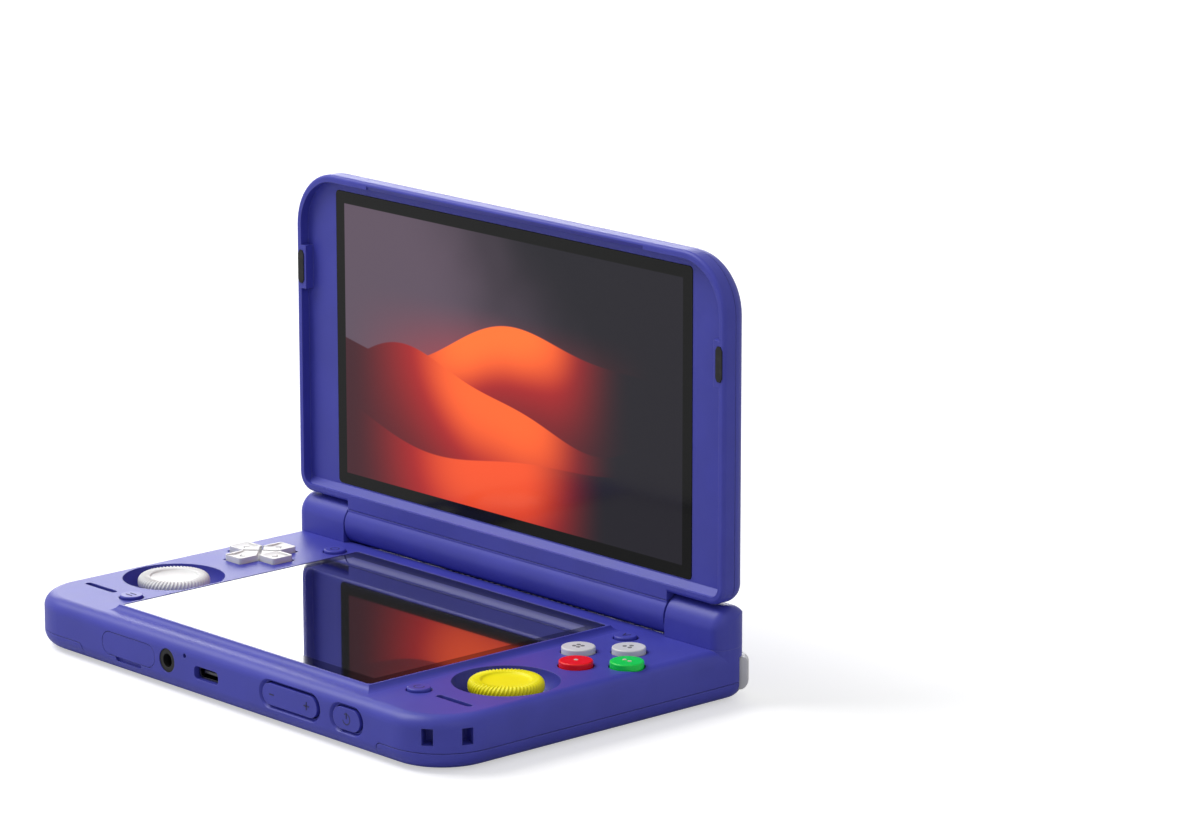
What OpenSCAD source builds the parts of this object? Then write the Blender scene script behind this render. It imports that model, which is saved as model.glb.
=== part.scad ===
// Clamshell handheld game console, lid open at a right angle.
// Millimetres, Z up, front towards -Y. Origin: middle of the footprint, on the table.
$fn = 48;

/* [Base case] */
// Half of the case width
half_width = 84; // [84:0.1:84.4]
// Half of the case depth
half_depth = 52.8; // [52.8:0.1:53]
// Radius of the two front corners seen from above
front_corner = 16; // [15.8:0.1:16.2]
// Radius of the two rear corners seen from above
rear_corner = 6.5; // [6.3:0.1:6.6]
// Height of the rubber feet under the case
foot_height = 0.6; // [0.5:0.1:0.7]
// Radius of the rubber feet
foot_r = 4; // [3.8:0.1:4.2]
// Height of the deck that carries the controls
deck_z = 14.2; // [14.2:0.05:14.25]
// Rounding between deck and side walls
top_round = 3.5; // [3.2:0.1:3.6]
// Rounding between side walls and underside
bottom_round = 4; // [3.6:0.1:4.1]
// Wall thickness of the case
wall = 1.8; // [1.7:0.05:1.85]
// Thickness of the underside
floor_wall = 1.6; // [1.5:0.05:1.65]
// Height of the parting line round the case
seam_z = 5.1; // [5:0.05:5.2]
// Gap left open along the parting line
seam_gap = 0.15; // [0.12:0.01:0.18]
// Left end of the apron where the upper half reaches the underside
apron_left = -57; // [-57.5:0.1:-56.5]
// Right end of the apron
apron_right = 61.2; // [60.9:0.1:61.4]

/* [Lower screen] */
// Distance from the side of the case to the lower glass
low_glass_side = 34.35; // [34.3:0.05:34.5]
// Distance from the front of the case to the lower glass
low_glass_front = 7.95; // [7.9:0.05:8]
// Distance from the back of the case to the lower glass
low_glass_back = 18.55; // [18.5:0.05:18.6]
// Thickness of the lower glass
low_glass_t = 1.2; // [1.1:0.05:1.25]
// Height of the frame above the deck
frame_rise = 1.4; // [1.35:0.05:1.4]
// Width of the flat lip round the glass
lip_w = 0.6; // [0.5:0.05:0.65]
// Width of the hollow slope outside the lip
slope_w = 2.3; // [2.2:0.05:2.35]
// Length of a speaker slot
speaker_slot_len = 12.6; // [12.4:0.1:12.7]
// Width of a speaker slot
speaker_slot_w = 1.9; // [1.8:0.05:1.95]

/* [Sticks] */
// Distance of each stick from the side of the case
stick_side = 17.4; // [17.35:0.05:17.5]
// Distance of the sticks from the front of the case
stick_front = 37.7; // [37.5:0.1:37.9]
// Radius of the bowl at the deck
bowl_r = 13.6; // [13.5:0.05:13.6]
// Radius of the bowl section
bowl_round = 6.2; // [6.1:0.05:6.2]
// Radius of the stick cap
cap_r = 9.6; // [9.4:0.1:9.7]
// Height of the rim of the cap
cap_top = 15; // [14.9:0.05:15.05]
// Height of the pivot of the stick
pivot_z = 5.2; // [5.15:0.05:5.25]
// Radius of the outer pins of the gimbal
yoke_pin_r = 0.8; // [0.75:0.01:0.82]
// Radius of the inner pins of the gimbal
stem_pin_r = 0.6; // [0.55:0.01:0.62]

/* [Keys] */
// Distance of both key groups from the side of the case
keys_side = 15.8; // [15.7:0.1:15.9]
// Distance of both key groups from the back of the case
keys_back = 37.1; // [37:0.1:37.2]
// Distance of each action button from the middle of its group
diamond_r = 9; // [8.9:0.05:9.1]
// Radius of an action button
button_r = 4.35; // [4.25:0.05:4.4]
// Height of buttons and cross pad
button_top = 15.7; // [15.6:0.05:15.75]
// Half length of the cross pad
cross_len = 9.7; // [9.6:0.05:9.75]
// Half width of an arm of the cross pad
cross_arm = 3.4; // [3.35:0.05:3.45]
// Gap between a key and its hole
key_gap = 0.35; // [0.32:0.01:0.38]
// Distance of the menu buttons from the side of the case
menu_side = 26.1; // [26:0.1:26.2]
// Distance of the front menu buttons from the front of the case
menu_front = 16.9; // [16.8:0.1:17]
// Distance of the rear menu buttons from the back of the case
menu_back = 19.7; // [19.6:0.1:19.8]
// Radius of a menu button
menu_r = 3; // [2.9:0.05:3.05]
// Height of a menu button
menu_top = 15; // [14.9:0.05:15.1]

/* [Front wall] */
// Middle of the card door
door_x = -37.35; // [-37.5:0.05:-37.2]
// Height of the middle of the card door
door_z = 7.65; // [7.6:0.05:7.7]
// Length of the card door
door_len = 22; // [21.8:0.1:22.1]
// Height of the card door
door_h = 6; // [5.9:0.05:6]
// Middle of the headphone socket
jack_x = -21.2; // [-21.3:0.05:-21.1]
// Height of the middle of the headphone socket
jack_z = 8.1; // [8.1:0.05:8.15]
// Bore of the headphone socket
jack_bore_r = 1.8; // [1.78:0.01:1.82]
// Outer radius of the ring of the socket
jack_ring_r = 3.05; // [3:0.05:3.1]
// Middle of the charging port
port_x = -5.1; // [-5.2:0.05:-5]
// Height of the middle of the charging port
port_z = 7.55; // [7.55:0.05:7.6]
// Middle of the volume rocker
rocker_x = 28.2; // [28.1:0.05:28.3]
// Length of the volume rocker
rocker_len = 21.2; // [21:0.1:21.3]
// Middle of the power button
power_x = 50.2; // [50.1:0.05:50.3]
// Length of the power button
power_len = 10.2; // [10.1:0.05:10.3]
// Height of the middle of the side keys
side_key_z = 8.3; // [8.25:0.05:8.35]
// Height of a side key
side_key_h = 5.5; // [5.4:0.05:5.5]

/* [Shoulder buttons] */
// Lower edge of the shoulder buttons
shoulder_z0 = 2.6; // [2.55:0.05:2.7]
// Upper edge of the shoulder buttons
shoulder_z1 = 11.2; // [11.1:0.05:11.2]
// How far the outer buttons stand out of the rear wall
outer_proud = 1.7; // [1.6:0.05:1.8]
// How far the inner buttons stand out of the rear wall
inner_proud = 2.4; // [2.3:0.05:2.5]
// Radius of the upright pins that carry the shoulder buttons
shoulder_pin_r = 1; // [0.95:0.01:1.02]

/* [Hinge] */
// Height of the hinge axis
axis_z = 19.1; // [19.1:0.02:19.14]
// Distance of the hinge axis from the back of the case
axis_back = 5.9; // [5.9:0.02:5.94]
// Radius of the ears and of the lid's barrel
barrel_r = 5.85; // [5.8:0.05:5.85]
// Length of each ear
ear_len = 20.2; // [20.1:0.05:20.3]
// Gap between barrel and ears
ear_gap = 0.5; // [0.45:0.05:0.5]
// Radius of the hinge shafts
shaft_r = 1.8; // [1.75:0.01:1.82]
// Radius of the friction barrels in the ears
friction_r = 3.4; // [3.35:0.01:3.42]

/* [Lid] */
// Height of the lower edge of the lid above the hinge axis
lid_drop = 6.4; // [6.4:0.05:6.5]
// Distance from the closed lid's edge to the front of the case
lid_margin = 3.8; // [3.7:0.1:3.9]
// Thickness of the lid in front of the hinge axis
lid_ahead = 4.6; // [4.58:0.02:4.62]
// Thickness of the lid behind the hinge axis
lid_behind = 4; // [3.95:0.05:4.05]
// Radius of the upper corners
lid_top_corner = 15.5; // [15.3:0.1:15.7]
// Radius of the lower corners
lid_low_corner = 5; // [4.9:0.05:5.1]
// Rounding of the back edges
lid_back_round = 4.6; // [4.4:0.05:4.7]
// Rounding of the front edges
lid_front_round = 1; // [0.9:0.05:1]
// Width of the rim
rim_w = 2; // [1.95:0.05:2.05]
// Depth of the inner face behind the rim
rim_depth = 2.55; // [2.5:0.01:2.56]
// Distance from the hinge axis forward to the plane where the lid's halves meet
split_ahead = 0.6; // [0.58:0.02:0.62]
// Distance from the side of the lid to the upper glass
up_glass_side = 14.2; // [14.1:0.1:14.3]
// Distance from the top of the lid to the upper glass
up_glass_top = 4.4; // [4.3:0.1:4.5]
// Distance from the bottom of the lid to the upper glass
up_glass_bottom = 4.1; // [4.05:0.05:4.2]
// Width of the relief in the upper rim, where the closed lid clears the screen frame
relief_w = 1; // [1:0.05:1.05]
// Depth of that relief
relief_d = 0.6; // [0.6:0.05:0.7]
// Thickness of the upper glass
up_glass_t = 1; // [0.98:0.01:1.02]
// How far the glass stands out of the inner face
up_glass_proud = 0.1; // [0.08:0.01:0.12]

/* [Fits] */
// Radial clearance of pins that turn
run_clear = 0.05; // [0.04:0.01:0.06]
// Gap round pieces that are seated in pockets
seat_gap = 0.1; // [0.08:0.01:0.12]

/* [Hidden] */
case_z0 = foot_height;
cover_top = case_z0 + floor_wall;
deck_under = deck_z - wall;
glass_z1 = deck_z + frame_rise - 0.1;
board_z = 4.9;
board_t = 1;
board_top = board_z + board_t;
inner_front = -half_depth + wall;
low_glass_w = 2 * (half_width - low_glass_side);
low_glass_d = 2 * half_depth - low_glass_front - low_glass_back;
low_glass_y = (low_glass_front - low_glass_back) / 2;
stick_x = half_width - stick_side;
stick_y = stick_front - half_depth;
keys_x = half_width - keys_side;
keys_y = half_depth - keys_back;
menu_x = half_width - menu_side;
menu_front_y = menu_front - half_depth;
menu_rear_y = half_depth - menu_back;
speaker_x = half_width - 13;
speaker_y = menu_front_y + 0.1;
foot_x = half_width - 18;
foot_ys = [16.8 - half_depth, half_depth - 12.8];
axis_y = half_depth - axis_back;
ear_x = half_width - ear_len;
trough_y0 = axis_y - 3.9;
room_front = axis_y - 8.7;
ear_round = 3.5;
groove_w = 1.1;
groove_depth = 1.2;
trough_y1 = axis_y + 2.7;
trough_z = 12.4;
rear_wall_z = 13.4;
room_x = half_width - 7.5;
room_back = half_depth - 4.5;
back_bay = half_depth - 22.8;
tongue_back = half_depth - 16.8;
mid_bay_x = ear_x - 11.8;
pocket_y = half_depth - 3.1;
pocket_x = half_width - 28.5;
pin_x = half_width - 15.8;
pin_y = half_depth - 6.2;
bowl_floor = deck_z - bowl_round;
bowl_mid = bowl_r - bowl_round;
corner_x = half_width - front_corner;
corner_y = -half_depth + front_corner;
screw_spots = [[half_width - 30.8, 4], [half_width - 22, 6.3 - half_depth],
  [half_width - 9, half_depth - 17.8]];
board_x = half_width - 34;
board_front = 3.2 - half_depth;
battery_w = 70;
battery_d = 33;
battery_y = -26.5;
blower_x = 26;
blower_y = half_depth - 29.8;
vent_x = 31;
lid_front = axis_y - lid_ahead;
lid_back = axis_y + lid_behind;
lid_split = axis_y - split_ahead;
lid_z0 = axis_z + lid_drop;
lid_z1 = axis_z + axis_y + half_depth - lid_margin;
up_glass_w = 2 * (half_width - up_glass_side);
up_glass_h = lid_z1 - lid_z0 - up_glass_top - up_glass_bottom;
up_glass_z = lid_z0 + up_glass_bottom + up_glass_h / 2;
face_y = lid_front + rim_depth;
glass_front = face_y - up_glass_proud;
barrel_x = ear_x - ear_gap;
core_r = 4.3;
pad_x = half_width - 2;
pad_z = lid_z1 - 27;
slot_y = -half_depth;
far = half_width + 20;

// Flat shapes
module pill_shape(l, h) {
  square([l - h, h], center = true);
  for (s = [-1, 1]) translate([s * (l - h) / 2, 0]) circle(d = h);
}

module round_shape(w, h, r) {
  square([w - 2 * r, h], center = true);
  square([w, h - 2 * r], center = true);
  for (sx = [-1, 1]) for (sy = [-1, 1])
    translate([sx * (w / 2 - r), sy * (h / 2 - r)]) circle(r = r);
}

// Outline with one radius for the two front corners and one for the two rear corners
module plan_shape(hw, y0, y1, rf, rr) {
  translate([-hw, y0 + rf]) square([2 * hw, y1 - y0 - rf - rr]);
  translate([-hw + rf, y0]) square([2 * (hw - rf), rf + 0.01]);
  translate([-hw + rr, y1 - rr - 0.01]) square([2 * (hw - rr), rr + 0.01]);
  for (s = [-1, 1]) {
    translate([s * (hw - rf), y0 + rf]) circle(r = rf);
    translate([s * (hw - rr), y1 - rr]) circle(r = rr);
  }
}

// Upright section of an edge: flat inside, rounded outside, from the middle line outwards
module edge_shape(r, z0, z1, ft, fb) {
  translate([0, z0]) square([r - max(ft, fb), z1 - z0]);
  translate([0, z0 + fb]) square([r, z1 - z0 - ft - fb]);
  translate([0, z1 - ft - 0.01]) square([r - ft, ft + 0.01]);
  translate([0, z0]) square([r - fb, fb + 0.01]);
  intersection() {
    translate([r - ft, z1 - ft]) circle(r = ft);
    translate([0, z0]) square([r, z1 - z0]);
  }
  intersection() {
    translate([r - fb, z0 + fb]) circle(r = fb);
    translate([0, z0]) square([r, z1 - z0]);
  }
}

// Block with rounded corners and rounded upper and lower edges
module soft_block(hw, y0, y1, z0, z1, rf, rr, ft, fb) {
  both_sides() {
    translate([hw - rf, y0 + rf, 0]) rotate([0, 0, -90])
      rotate_extrude(angle = 90) edge_shape(rf, z0, z1, ft, fb);
    translate([hw - rr, y1 - rr, 0])
      rotate_extrude(angle = 90) edge_shape(rr, z0, z1, ft, fb);
    translate([hw - rr, y1 - rr, 0]) rotate([90, 0, 0])
      linear_extrude(y1 - y0 - rf - rr) edge_shape(rr, z0, z1, ft, fb);
    translate([hw - rf - 0.01, y0 + rf, z0]) cube([rf - rr + 0.02, y1 - y0 - rf - rr, z1 - z0]);
  }
  translate([-(hw - rf), y0 + rf, 0]) rotate([90, 0, 90]) mirror([1, 0, 0])
    linear_extrude(2 * (hw - rf)) edge_shape(rf, z0, z1, ft, fb);
  translate([-(hw - rr), y1 - rr, 0]) rotate([90, 0, 90])
    linear_extrude(2 * (hw - rr)) edge_shape(rr, z0, z1, ft, fb);
  translate([-(hw - rf), y0 + rf, z0]) cube([2 * (hw - rf), y1 - y0 - rf - rr, z1 - z0]);
}

// Upright plate in the XZ plane, its front at y = 0, reaching back by t
module wall_plate(t) {
  rotate([90, 0, 0]) translate([0, 0, -t]) linear_extrude(t) children();
}

// Cylinder along X between two positions, on the hinge axis
module axis_rod(x0, x1, r) {
  translate([x0, axis_y, axis_z]) rotate([0, 90, 0]) cylinder(r = r, h = x1 - x0);
}

// A piece and its mirror image on the other side of the middle plane
module both_sides() {
  children();
  mirror([1, 0, 0]) children();
}

// Base case
module case_solid() {
  soft_block(half_width, -half_depth, half_depth, case_z0, deck_z,
    front_corner, rear_corner, top_round, bottom_round);
}

module case_room() {
  translate([0, 0, cover_top]) linear_extrude(deck_under - cover_top)
    plan_shape(half_width - wall, inner_front, room_front, front_corner - wall, 0.5);
  translate([-mid_bay_x, back_bay, cover_top])
    cube([2 * mid_bay_x, half_depth - 1.9 - back_bay, 10.9 - cover_top]);
  both_sides() {
    translate([mid_bay_x - 0.1, back_bay, cover_top])
      cube([room_x - mid_bay_x + 0.1, room_back - back_bay, 10.9 - cover_top]);
    translate([ear_x + 0.8, back_bay, cover_top])
      cube([room_x - ear_x - 0.8, room_back - back_bay, deck_under - cover_top]);
  }
}

// Part of the front wall that belongs to the upper half down to the underside
module apron(grow) {
  translate([0, -half_depth - 1, 0]) wall_plate(4.3 + grow) difference() {
    union() {
      translate([apron_left - grow, -1]) square([apron_right - apron_left + 2 * grow, seam_z + 1.2]);
      translate([apron_left - grow - 1.6, seam_z - 1.6])
        square([apron_right - apron_left + 2 * grow + 3.2, 1.8]);
    }
    for (x = [apron_left - grow - 1.6, apron_right + grow + 1.6])
      translate([x, seam_z - 1.6]) circle(r = 1.6 - grow);
  }
}

module shell_body() {
  difference() {
    union() {
      case_solid();
      // the ears' feet, up to the deck
      both_sides() intersection() {
        ear();
        translate([0, 0, deck_z - 10]) cube([far, far, 10]);
      }
    }
    case_room();
    difference() {
      translate([-far, -far, -1]) cube([2 * far, 2 * far, seam_z + 1]);
      apron(0);
    }
  }
  difference() {
    translate([0, 0, seam_z - 1]) linear_extrude(1.6) difference() {
      plan_shape(half_width - 1, -half_depth + 1, tongue_back, front_corner - 1, 1);
      plan_shape(half_width - wall, inner_front, half_depth + 7, front_corner - wall, 0.5);
    }
    translate([apron_left - 3, -far, 0]) cube([apron_right - apron_left + 5.5, far - half_depth + 7.8, 10]);
  }
}

// Rounded ear at each end of the barrel
module ear() {
  intersection() {
    union() {
      difference() {
        translate([ear_x, axis_y, axis_z]) rotate([0, 90, 0]) rotate_extrude()
          edge_shape(barrel_r, 0, half_width - ear_x, ear_round, 0.3);
        translate([ear_x - 1, axis_y - 10, axis_z - 10]) cube([30, 20, 10]);
      }
      translate([ear_x, axis_y, deck_z - top_round]) linear_extrude(axis_z - deck_z + top_round) {
        translate([0, -barrel_r]) square([half_width - ear_x - ear_round, 2 * barrel_r]);
        translate([0, ear_round - barrel_r]) square([half_width - ear_x, 2 * barrel_r - ear_round]);
        translate([half_width - ear_x - ear_round, ear_round - barrel_r]) circle(r = ear_round);
      }
    }
    translate([0, 0, deck_z - 6]) linear_extrude(20)
      plan_shape(half_width, -half_depth, half_depth, front_corner, rear_corner);
  }
}

// Section of the screen frame: flat lip, and a hollow slope that runs out into the deck
module frame_section(h) {
  hollow_r = (slope_w * slope_w + frame_rise * frame_rise) / (2 * frame_rise);
  difference() {
    polygon([[-h - slope_w, -0.5], [h + slope_w, -0.5], [h + slope_w, 0],
      [h, frame_rise], [-h, frame_rise], [-h - slope_w, 0]]);
    for (s = [-1, 1]) translate([s * (h + slope_w), hollow_r - 0.02]) circle(r = hollow_r);
  }
}

// Raised frame round the lower glass
module glass_frame() {
  translate([0, low_glass_y, deck_z]) intersection() {
    rotate([90, 0, 0]) translate([0, 0, -60]) linear_extrude(120)
      frame_section(low_glass_w / 2 + seat_gap + lip_w);
    rotate([90, 0, 90]) translate([0, 0, -70]) linear_extrude(140)
      frame_section(low_glass_d / 2 + seat_gap + lip_w);
  }
}

// Upper part of an ear: a separate cap that closes over the friction barrel
module hinge_ear() {
  color("slateblue") difference() {
    intersection() {
      ear();
      translate([0, 0, deck_z]) cube([far, far, 20]);
    }
    axis_rod(ear_x - 1, half_width - 2.8, friction_r + run_clear);
  }
}

module hinge_ear_right() { hinge_ear(); }
module hinge_ear_left() { mirror([1, 0, 0]) hinge_ear(); }

module bowl_cut() {
  rotate_extrude() {
    translate([bowl_mid, deck_z]) circle(r = bowl_round);
    translate([0, bowl_floor]) square([bowl_mid, bowl_round + 1]);
  }
  translate([0, 0, bowl_floor - 3]) cylinder(r = 6.6, h = 4);
}

module cross_shape(grow) {
  a = cross_arm + grow;
  l = cross_len + grow;
  round_shape(2 * a, 2 * l, 0.8);
  round_shape(2 * l, 2 * a, 0.8);
}

module key_hole(r) {
  translate([0, 0, deck_under - 1]) cylinder(r = r + key_gap, h = wall + 3);
  translate([-r - key_gap - 0.5, -0.5, deck_under - 1]) cube([1.5, 1, wall + 3]);
}

// Pocket behind the shoulder buttons, following the rear corner
module shoulder_pocket() {
  r = pocket_y - half_depth + rear_corner;
  left = pocket_x - half_width + rear_corner;
  translate([half_width - rear_corner, half_depth - rear_corner, shoulder_z0 - 0.3])
    linear_extrude(shoulder_z1 - shoulder_z0 + 0.6) difference() {
      polygon([[0, 0], [12 * cos(20), 12 * sin(20)], [12, 12], [left, 12], [left, r], [0, r]]);
      circle(r = r);
    }
  translate([pin_x - 2.7, pin_y - 0.5, 4]) cube([5.4, 5, 5.7]);
}

module strap_tunnel() {
  translate([corner_x, corner_y, 7]) {
    for (a = [-55, -19]) rotate([0, 0, a]) translate([12, -1.45, 0]) cube([6, 2.9, 4.2]);
    rotate([0, 0, -62]) rotate_extrude(angle = 50) translate([11.6, 0]) square([2.6, 4.2]);
  }
}

module strap_block() {
  translate([corner_x, corner_y, seam_z + 0.05]) rotate([0, 0, -90])
    rotate_extrude(angle = 90) translate([10.4, 0]) square([4.4, deck_under - seam_z + 0.1]);
}

// Recess that slopes from a pill outline on the wall down to a smaller one
module sloped_recess(l, h, depth, slope) {
  for (s = [-1, 1]) translate([s * (l - h) / 2, 0, 0]) rotate([-90, 0, 0])
    cylinder(r1 = h / 2, r2 = h / 2 - slope, h = depth);
  rotate([90, 0, 90]) translate([0, 0, -(l - h) / 2]) linear_extrude(l - h)
    polygon([[0, -h / 2], [depth, slope - h / 2], [depth, h / 2 - slope], [0, h / 2]]);
}

module front_cuts() {
  translate([door_x, slot_y - 1, door_z]) wall_plate(2.2)
    pill_shape(door_len + 0.3, door_h + 0.3);
  translate([door_x, slot_y - 1, door_z]) wall_plate(4)
    pill_shape(13, 1.6);
  for (s = [-1, 1]) translate([door_x + s * 8.6, slot_y - 1, door_z]) wall_plate(4)
    square([2.3, 2.3], center = true);
  translate([door_x, slot_y - 1, door_z - door_h / 2 - 0.3]) wall_plate(1.8)
    round_shape(10.6, 1.8, 0.8);
  translate([jack_x, slot_y - 1, jack_z]) wall_plate(4) circle(r = jack_ring_r + seat_gap);
  translate([-13.85, slot_y - 1, 10.85]) wall_plate(4) circle(r = 0.6);
  translate([port_x, slot_y - 1, port_z]) wall_plate(4) round_shape(9.8, 3.4, 1.3);
  translate([rocker_x, slot_y - 1, side_key_z]) {
    wall_plate(1.01) pill_shape(rocker_len + 2.8, side_key_h + 2.2);
    translate([0, 1, 0]) sloped_recess(rocker_len + 2.8, side_key_h + 2.2, 0.9, 0.65);
    wall_plate(4) pill_shape(rocker_len + 0.7, side_key_h + 0.7);
  }
  translate([power_x, slot_y - 1, side_key_z]) {
    wall_plate(1.01) pill_shape(power_len + 2.8, side_key_h + 2.2);
    translate([0, 1, 0]) sloped_recess(power_len + 2.8, side_key_h + 2.2, 0.9, 0.65);
    wall_plate(4) pill_shape(power_len + 0.6, side_key_h + 0.6);
  }
}

module base_top_shell() {
  color("slateblue") difference() {
    union() {
      shell_body();
      glass_frame();
      both_sides() {
        translate([stick_x, stick_y, bowl_floor - 1.4])
          cylinder(r = bowl_r + 1.3, h = deck_under - bowl_floor + 1.5);
        strap_block();
        for (p = screw_spots) translate([p[0], p[1], cover_top + 0.05])
          cylinder(r = 2.2, h = deck_under - cover_top);
      }
    }
    // room for the lower glass and its display
    translate([0, low_glass_y, glass_z1 - low_glass_t]) linear_extrude(4)
      round_shape(low_glass_w + 2 * seat_gap, low_glass_d + 2 * seat_gap, 1.2);
    translate([0, low_glass_y, 8]) linear_extrude(10)
      round_shape(low_glass_w - 5.3, low_glass_d - 7.5, 1);
    both_sides() {
      translate([stick_x, stick_y, 0]) bowl_cut();
      shoulder_pocket();
      strap_tunnel();
      for (y = [menu_front_y, menu_rear_y]) translate([menu_x, y, 0]) key_hole(menu_r);
      translate([speaker_x, speaker_y, deck_under - 1]) linear_extrude(4) pill_shape(speaker_slot_len, speaker_slot_w);
      for (p = screw_spots) translate([p[0], p[1], 0]) cylinder(r = 1 + run_clear, h = 9.5);
    }
    translate([-keys_x, keys_y, deck_under - 1]) linear_extrude(5) cross_shape(0.45);
    for (a = [0:90:270]) translate([keys_x, keys_y, 0]) rotate([0, 0, a])
      translate([diamond_r, 0, 0]) rotate([0, 0, -a]) key_hole(button_r);
    front_cuts();
    // trough that lets the barrel turn, with a lower wall behind it
    translate([-ear_x, trough_y0, trough_z]) cube([2 * ear_x, trough_y1 - trough_y0, 5]);
    translate([-ear_x, trough_y0, rear_wall_z]) cube([2 * ear_x, 20, 5]);
    translate([-vent_x + 0.9, axis_y - 2.8, 10]) cube([2 * vent_x - 1.8, 4.8, 1.6]);
    translate([-vent_x - 0.1, axis_y - 3.8, 11.4]) cube([2 * vent_x + 0.2, 6, 2]);
  }
}

module cover_body() {
  difference() {
    intersection() {
      case_solid();
      translate([-far, -far, 0]) cube([2 * far, 2 * far, seam_z - seam_gap]);
    }
    case_room();
    apron(seam_gap);
    translate([0, 0, seam_z - 1.15]) linear_extrude(3)
      plan_shape(half_width - 0.9, -half_depth + 0.9, tongue_back + 0.1, front_corner - 0.9, 1);
    both_sides() shoulder_pocket();
  }
}

module base_bottom_cover() {
  color("slateblue") difference() {
    union() {
      cover_body();
      both_sides() {
        for (y = [11.8 - half_depth, tongue_back - 4])
          translate([board_x - 4, y, cover_top - 0.1]) cylinder(r = 1.6, h = board_z - cover_top + 0.1);
        for (x = [keys_x - 9.2, keys_x + 9.8]) for (y = [keys_y - 9.2, keys_y + 9.8])
          translate([x, y, cover_top - 0.1]) cylinder(r = 1.4, h = 7.6 - cover_top + 0.1);
        translate([pin_x, pin_y, cover_top - 0.1]) difference() {
          cylinder(r = 2, h = 0.9);
          cylinder(r = shoulder_pin_r + 0.02, h = 2);
        }
      }
    }
    for (i = [-4:4]) translate([blower_x + 3 * i, blower_y, -1]) linear_extrude(5)
      rotate(90) pill_shape(16, 1.4);
    both_sides() {
      for (p = screw_spots) translate([p[0], p[1], 0]) {
        cylinder(r = 2.2, h = 1.8);
        cylinder(r = 1.1, h = 5);
      }
      for (y = foot_ys) translate([foot_x, y, 0]) cylinder(r = foot_r + seat_gap, h = 1);
    }
  }
}

module rubber_feet() {
  color("dimgray") both_sides()
    for (y = foot_ys) translate([foot_x, y, 0]) cylinder(r = foot_r, h = 1);
}

module case_screws() {
  color("gray") both_sides() for (p = screw_spots) translate([p[0], p[1], 0]) {
    difference() {
      translate([0, 0, 0.8]) cylinder(r = 2, h = 1);
      for (a = [0, 90]) rotate([0, 0, a]) translate([-1, -0.25, 0]) cube([2, 0.5, 1.3]);
    }
    translate([0, 0, 1.7]) cylinder(r = 1, h = 7.3);
  }
}

module lower_glass() {
  color("black") translate([0, low_glass_y, glass_z1 - low_glass_t]) linear_extrude(low_glass_t)
    round_shape(low_glass_w, low_glass_d, 1.1);
}

module lower_display() {
  color("darkgray") translate([0, low_glass_y, glass_z1 - low_glass_t - 1.4])
    linear_extrude(1.4) round_shape(low_glass_w - 5.9, low_glass_d - 8.1, 0.8);
}

// Electronics
module mainboard() {
  color("darkgreen") difference() {
    union() {
      translate([-board_x, board_front, board_z]) cube([2 * board_x, tongue_back - board_front, board_t]);
      both_sides() {
        translate([board_x - 1, menu_front_y - 6.1, board_z]) cube([12, 12, board_t]);
        translate([board_x - 1, menu_rear_y - 4.6, board_z]) cube([12, 7.5, board_t]);
      }
      for (s = [-1, 1]) for (y = [menu_front_y, menu_rear_y])
        translate([s * menu_x - 2, y - 2, board_top - 0.1]) cube([4, 4, 1.3]);
      translate([-16, blower_y - 8, board_top - 0.1]) cube([16, 14, 1.3]);
      for (x = [-40, -28]) translate([x, blower_y - 7, board_top - 0.1]) cube([9, 12, 1.1]);
      translate([4 - board_x, blower_y - 10, board_top - 0.1]) cube([4, 18, 2]);
    }
    translate([-battery_w / 2 - 1, battery_y - 1, 0]) cube([battery_w + 2, battery_d + 4, 10]);
    for (x = [3 - board_x, board_x - 7]) for (y = [-12, 0]) translate([x, y, 0]) cylinder(r = 1.1, h = 10);
  }
}

module battery() {
  color("silver") {
    translate([-battery_w / 2, battery_y, cover_top]) cube([battery_w, battery_d, 8]);
    translate([-20, battery_y + battery_d - 0.1, cover_top + 1]) cube([40, 2, 5]);
  }
}

module blower_case() {
  color("dimgray") translate([blower_x, blower_y, board_top]) difference() {
    union() {
      cylinder(r = 12, h = 4.4);
      translate([-12, 0, 0]) cube([24, 12.6, 4.4]);
    }
    translate([0, 0, 0.6]) cylinder(r = 11.2, h = 3.2);
    translate([-11, 0, 0.6]) cube([22, 14, 3.2]);
    translate([0, 0, 3]) cylinder(r = 7, h = 3);
  }
  color("dimgray") translate([blower_x, blower_y, board_top + 0.3]) cylinder(r = 1, h = 2.2);
}

module blower_wheel() {
  color("darkgray") translate([blower_x, blower_y, board_top + 0.9]) difference() {
    union() {
      difference() {
        cylinder(r = 4.4, h = 2.6);
        translate([0, 0, -1]) cylinder(r = 1 + run_clear, h = 2.8);
      }
      for (a = [0:20:340]) rotate([0, 0, a]) translate([4, -0.25, 0.3]) cube([6.6, 0.5, 2]);
      translate([0, 0, 0.3]) difference() {
        cylinder(r = 10.7, h = 0.5);
        translate([0, 0, -1]) cylinder(r = 10, h = 3);
      }
    }
  }
}

module heat_sink() {
  color("peru") {
    translate([-15, blower_y - 6, board_top + 1.2]) cube([14, 10, 0.8]);
    translate([-8, blower_y - 4, board_top + 2]) cube([3, 23, 1.4]);
    translate([-8, blower_y + 15.5, board_top + 2]) cube([46, 3.5, 1.4]);
    for (x = [14:2:38]) translate([x, blower_y + 14.4, board_top]) cube([0.6, 9, 4.4]);
    translate([14, blower_y + 22.6, cover_top]) cube([24.6, 0.8, 8.1]);
  }
}

module speaker() {
  color("black") translate([speaker_x, speaker_y, deck_under - 3.6]) difference() {
    translate([-6.6, -3.1, 0]) cube([13.2, 6.2, 3.5]);
    translate([-5.4, -2.2, 3]) cube([10.8, 4.4, 1]);
  }
}

module speaker_right() { speaker(); }
module speaker_left() { mirror([1, 0, 0]) speaker(); }

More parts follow.
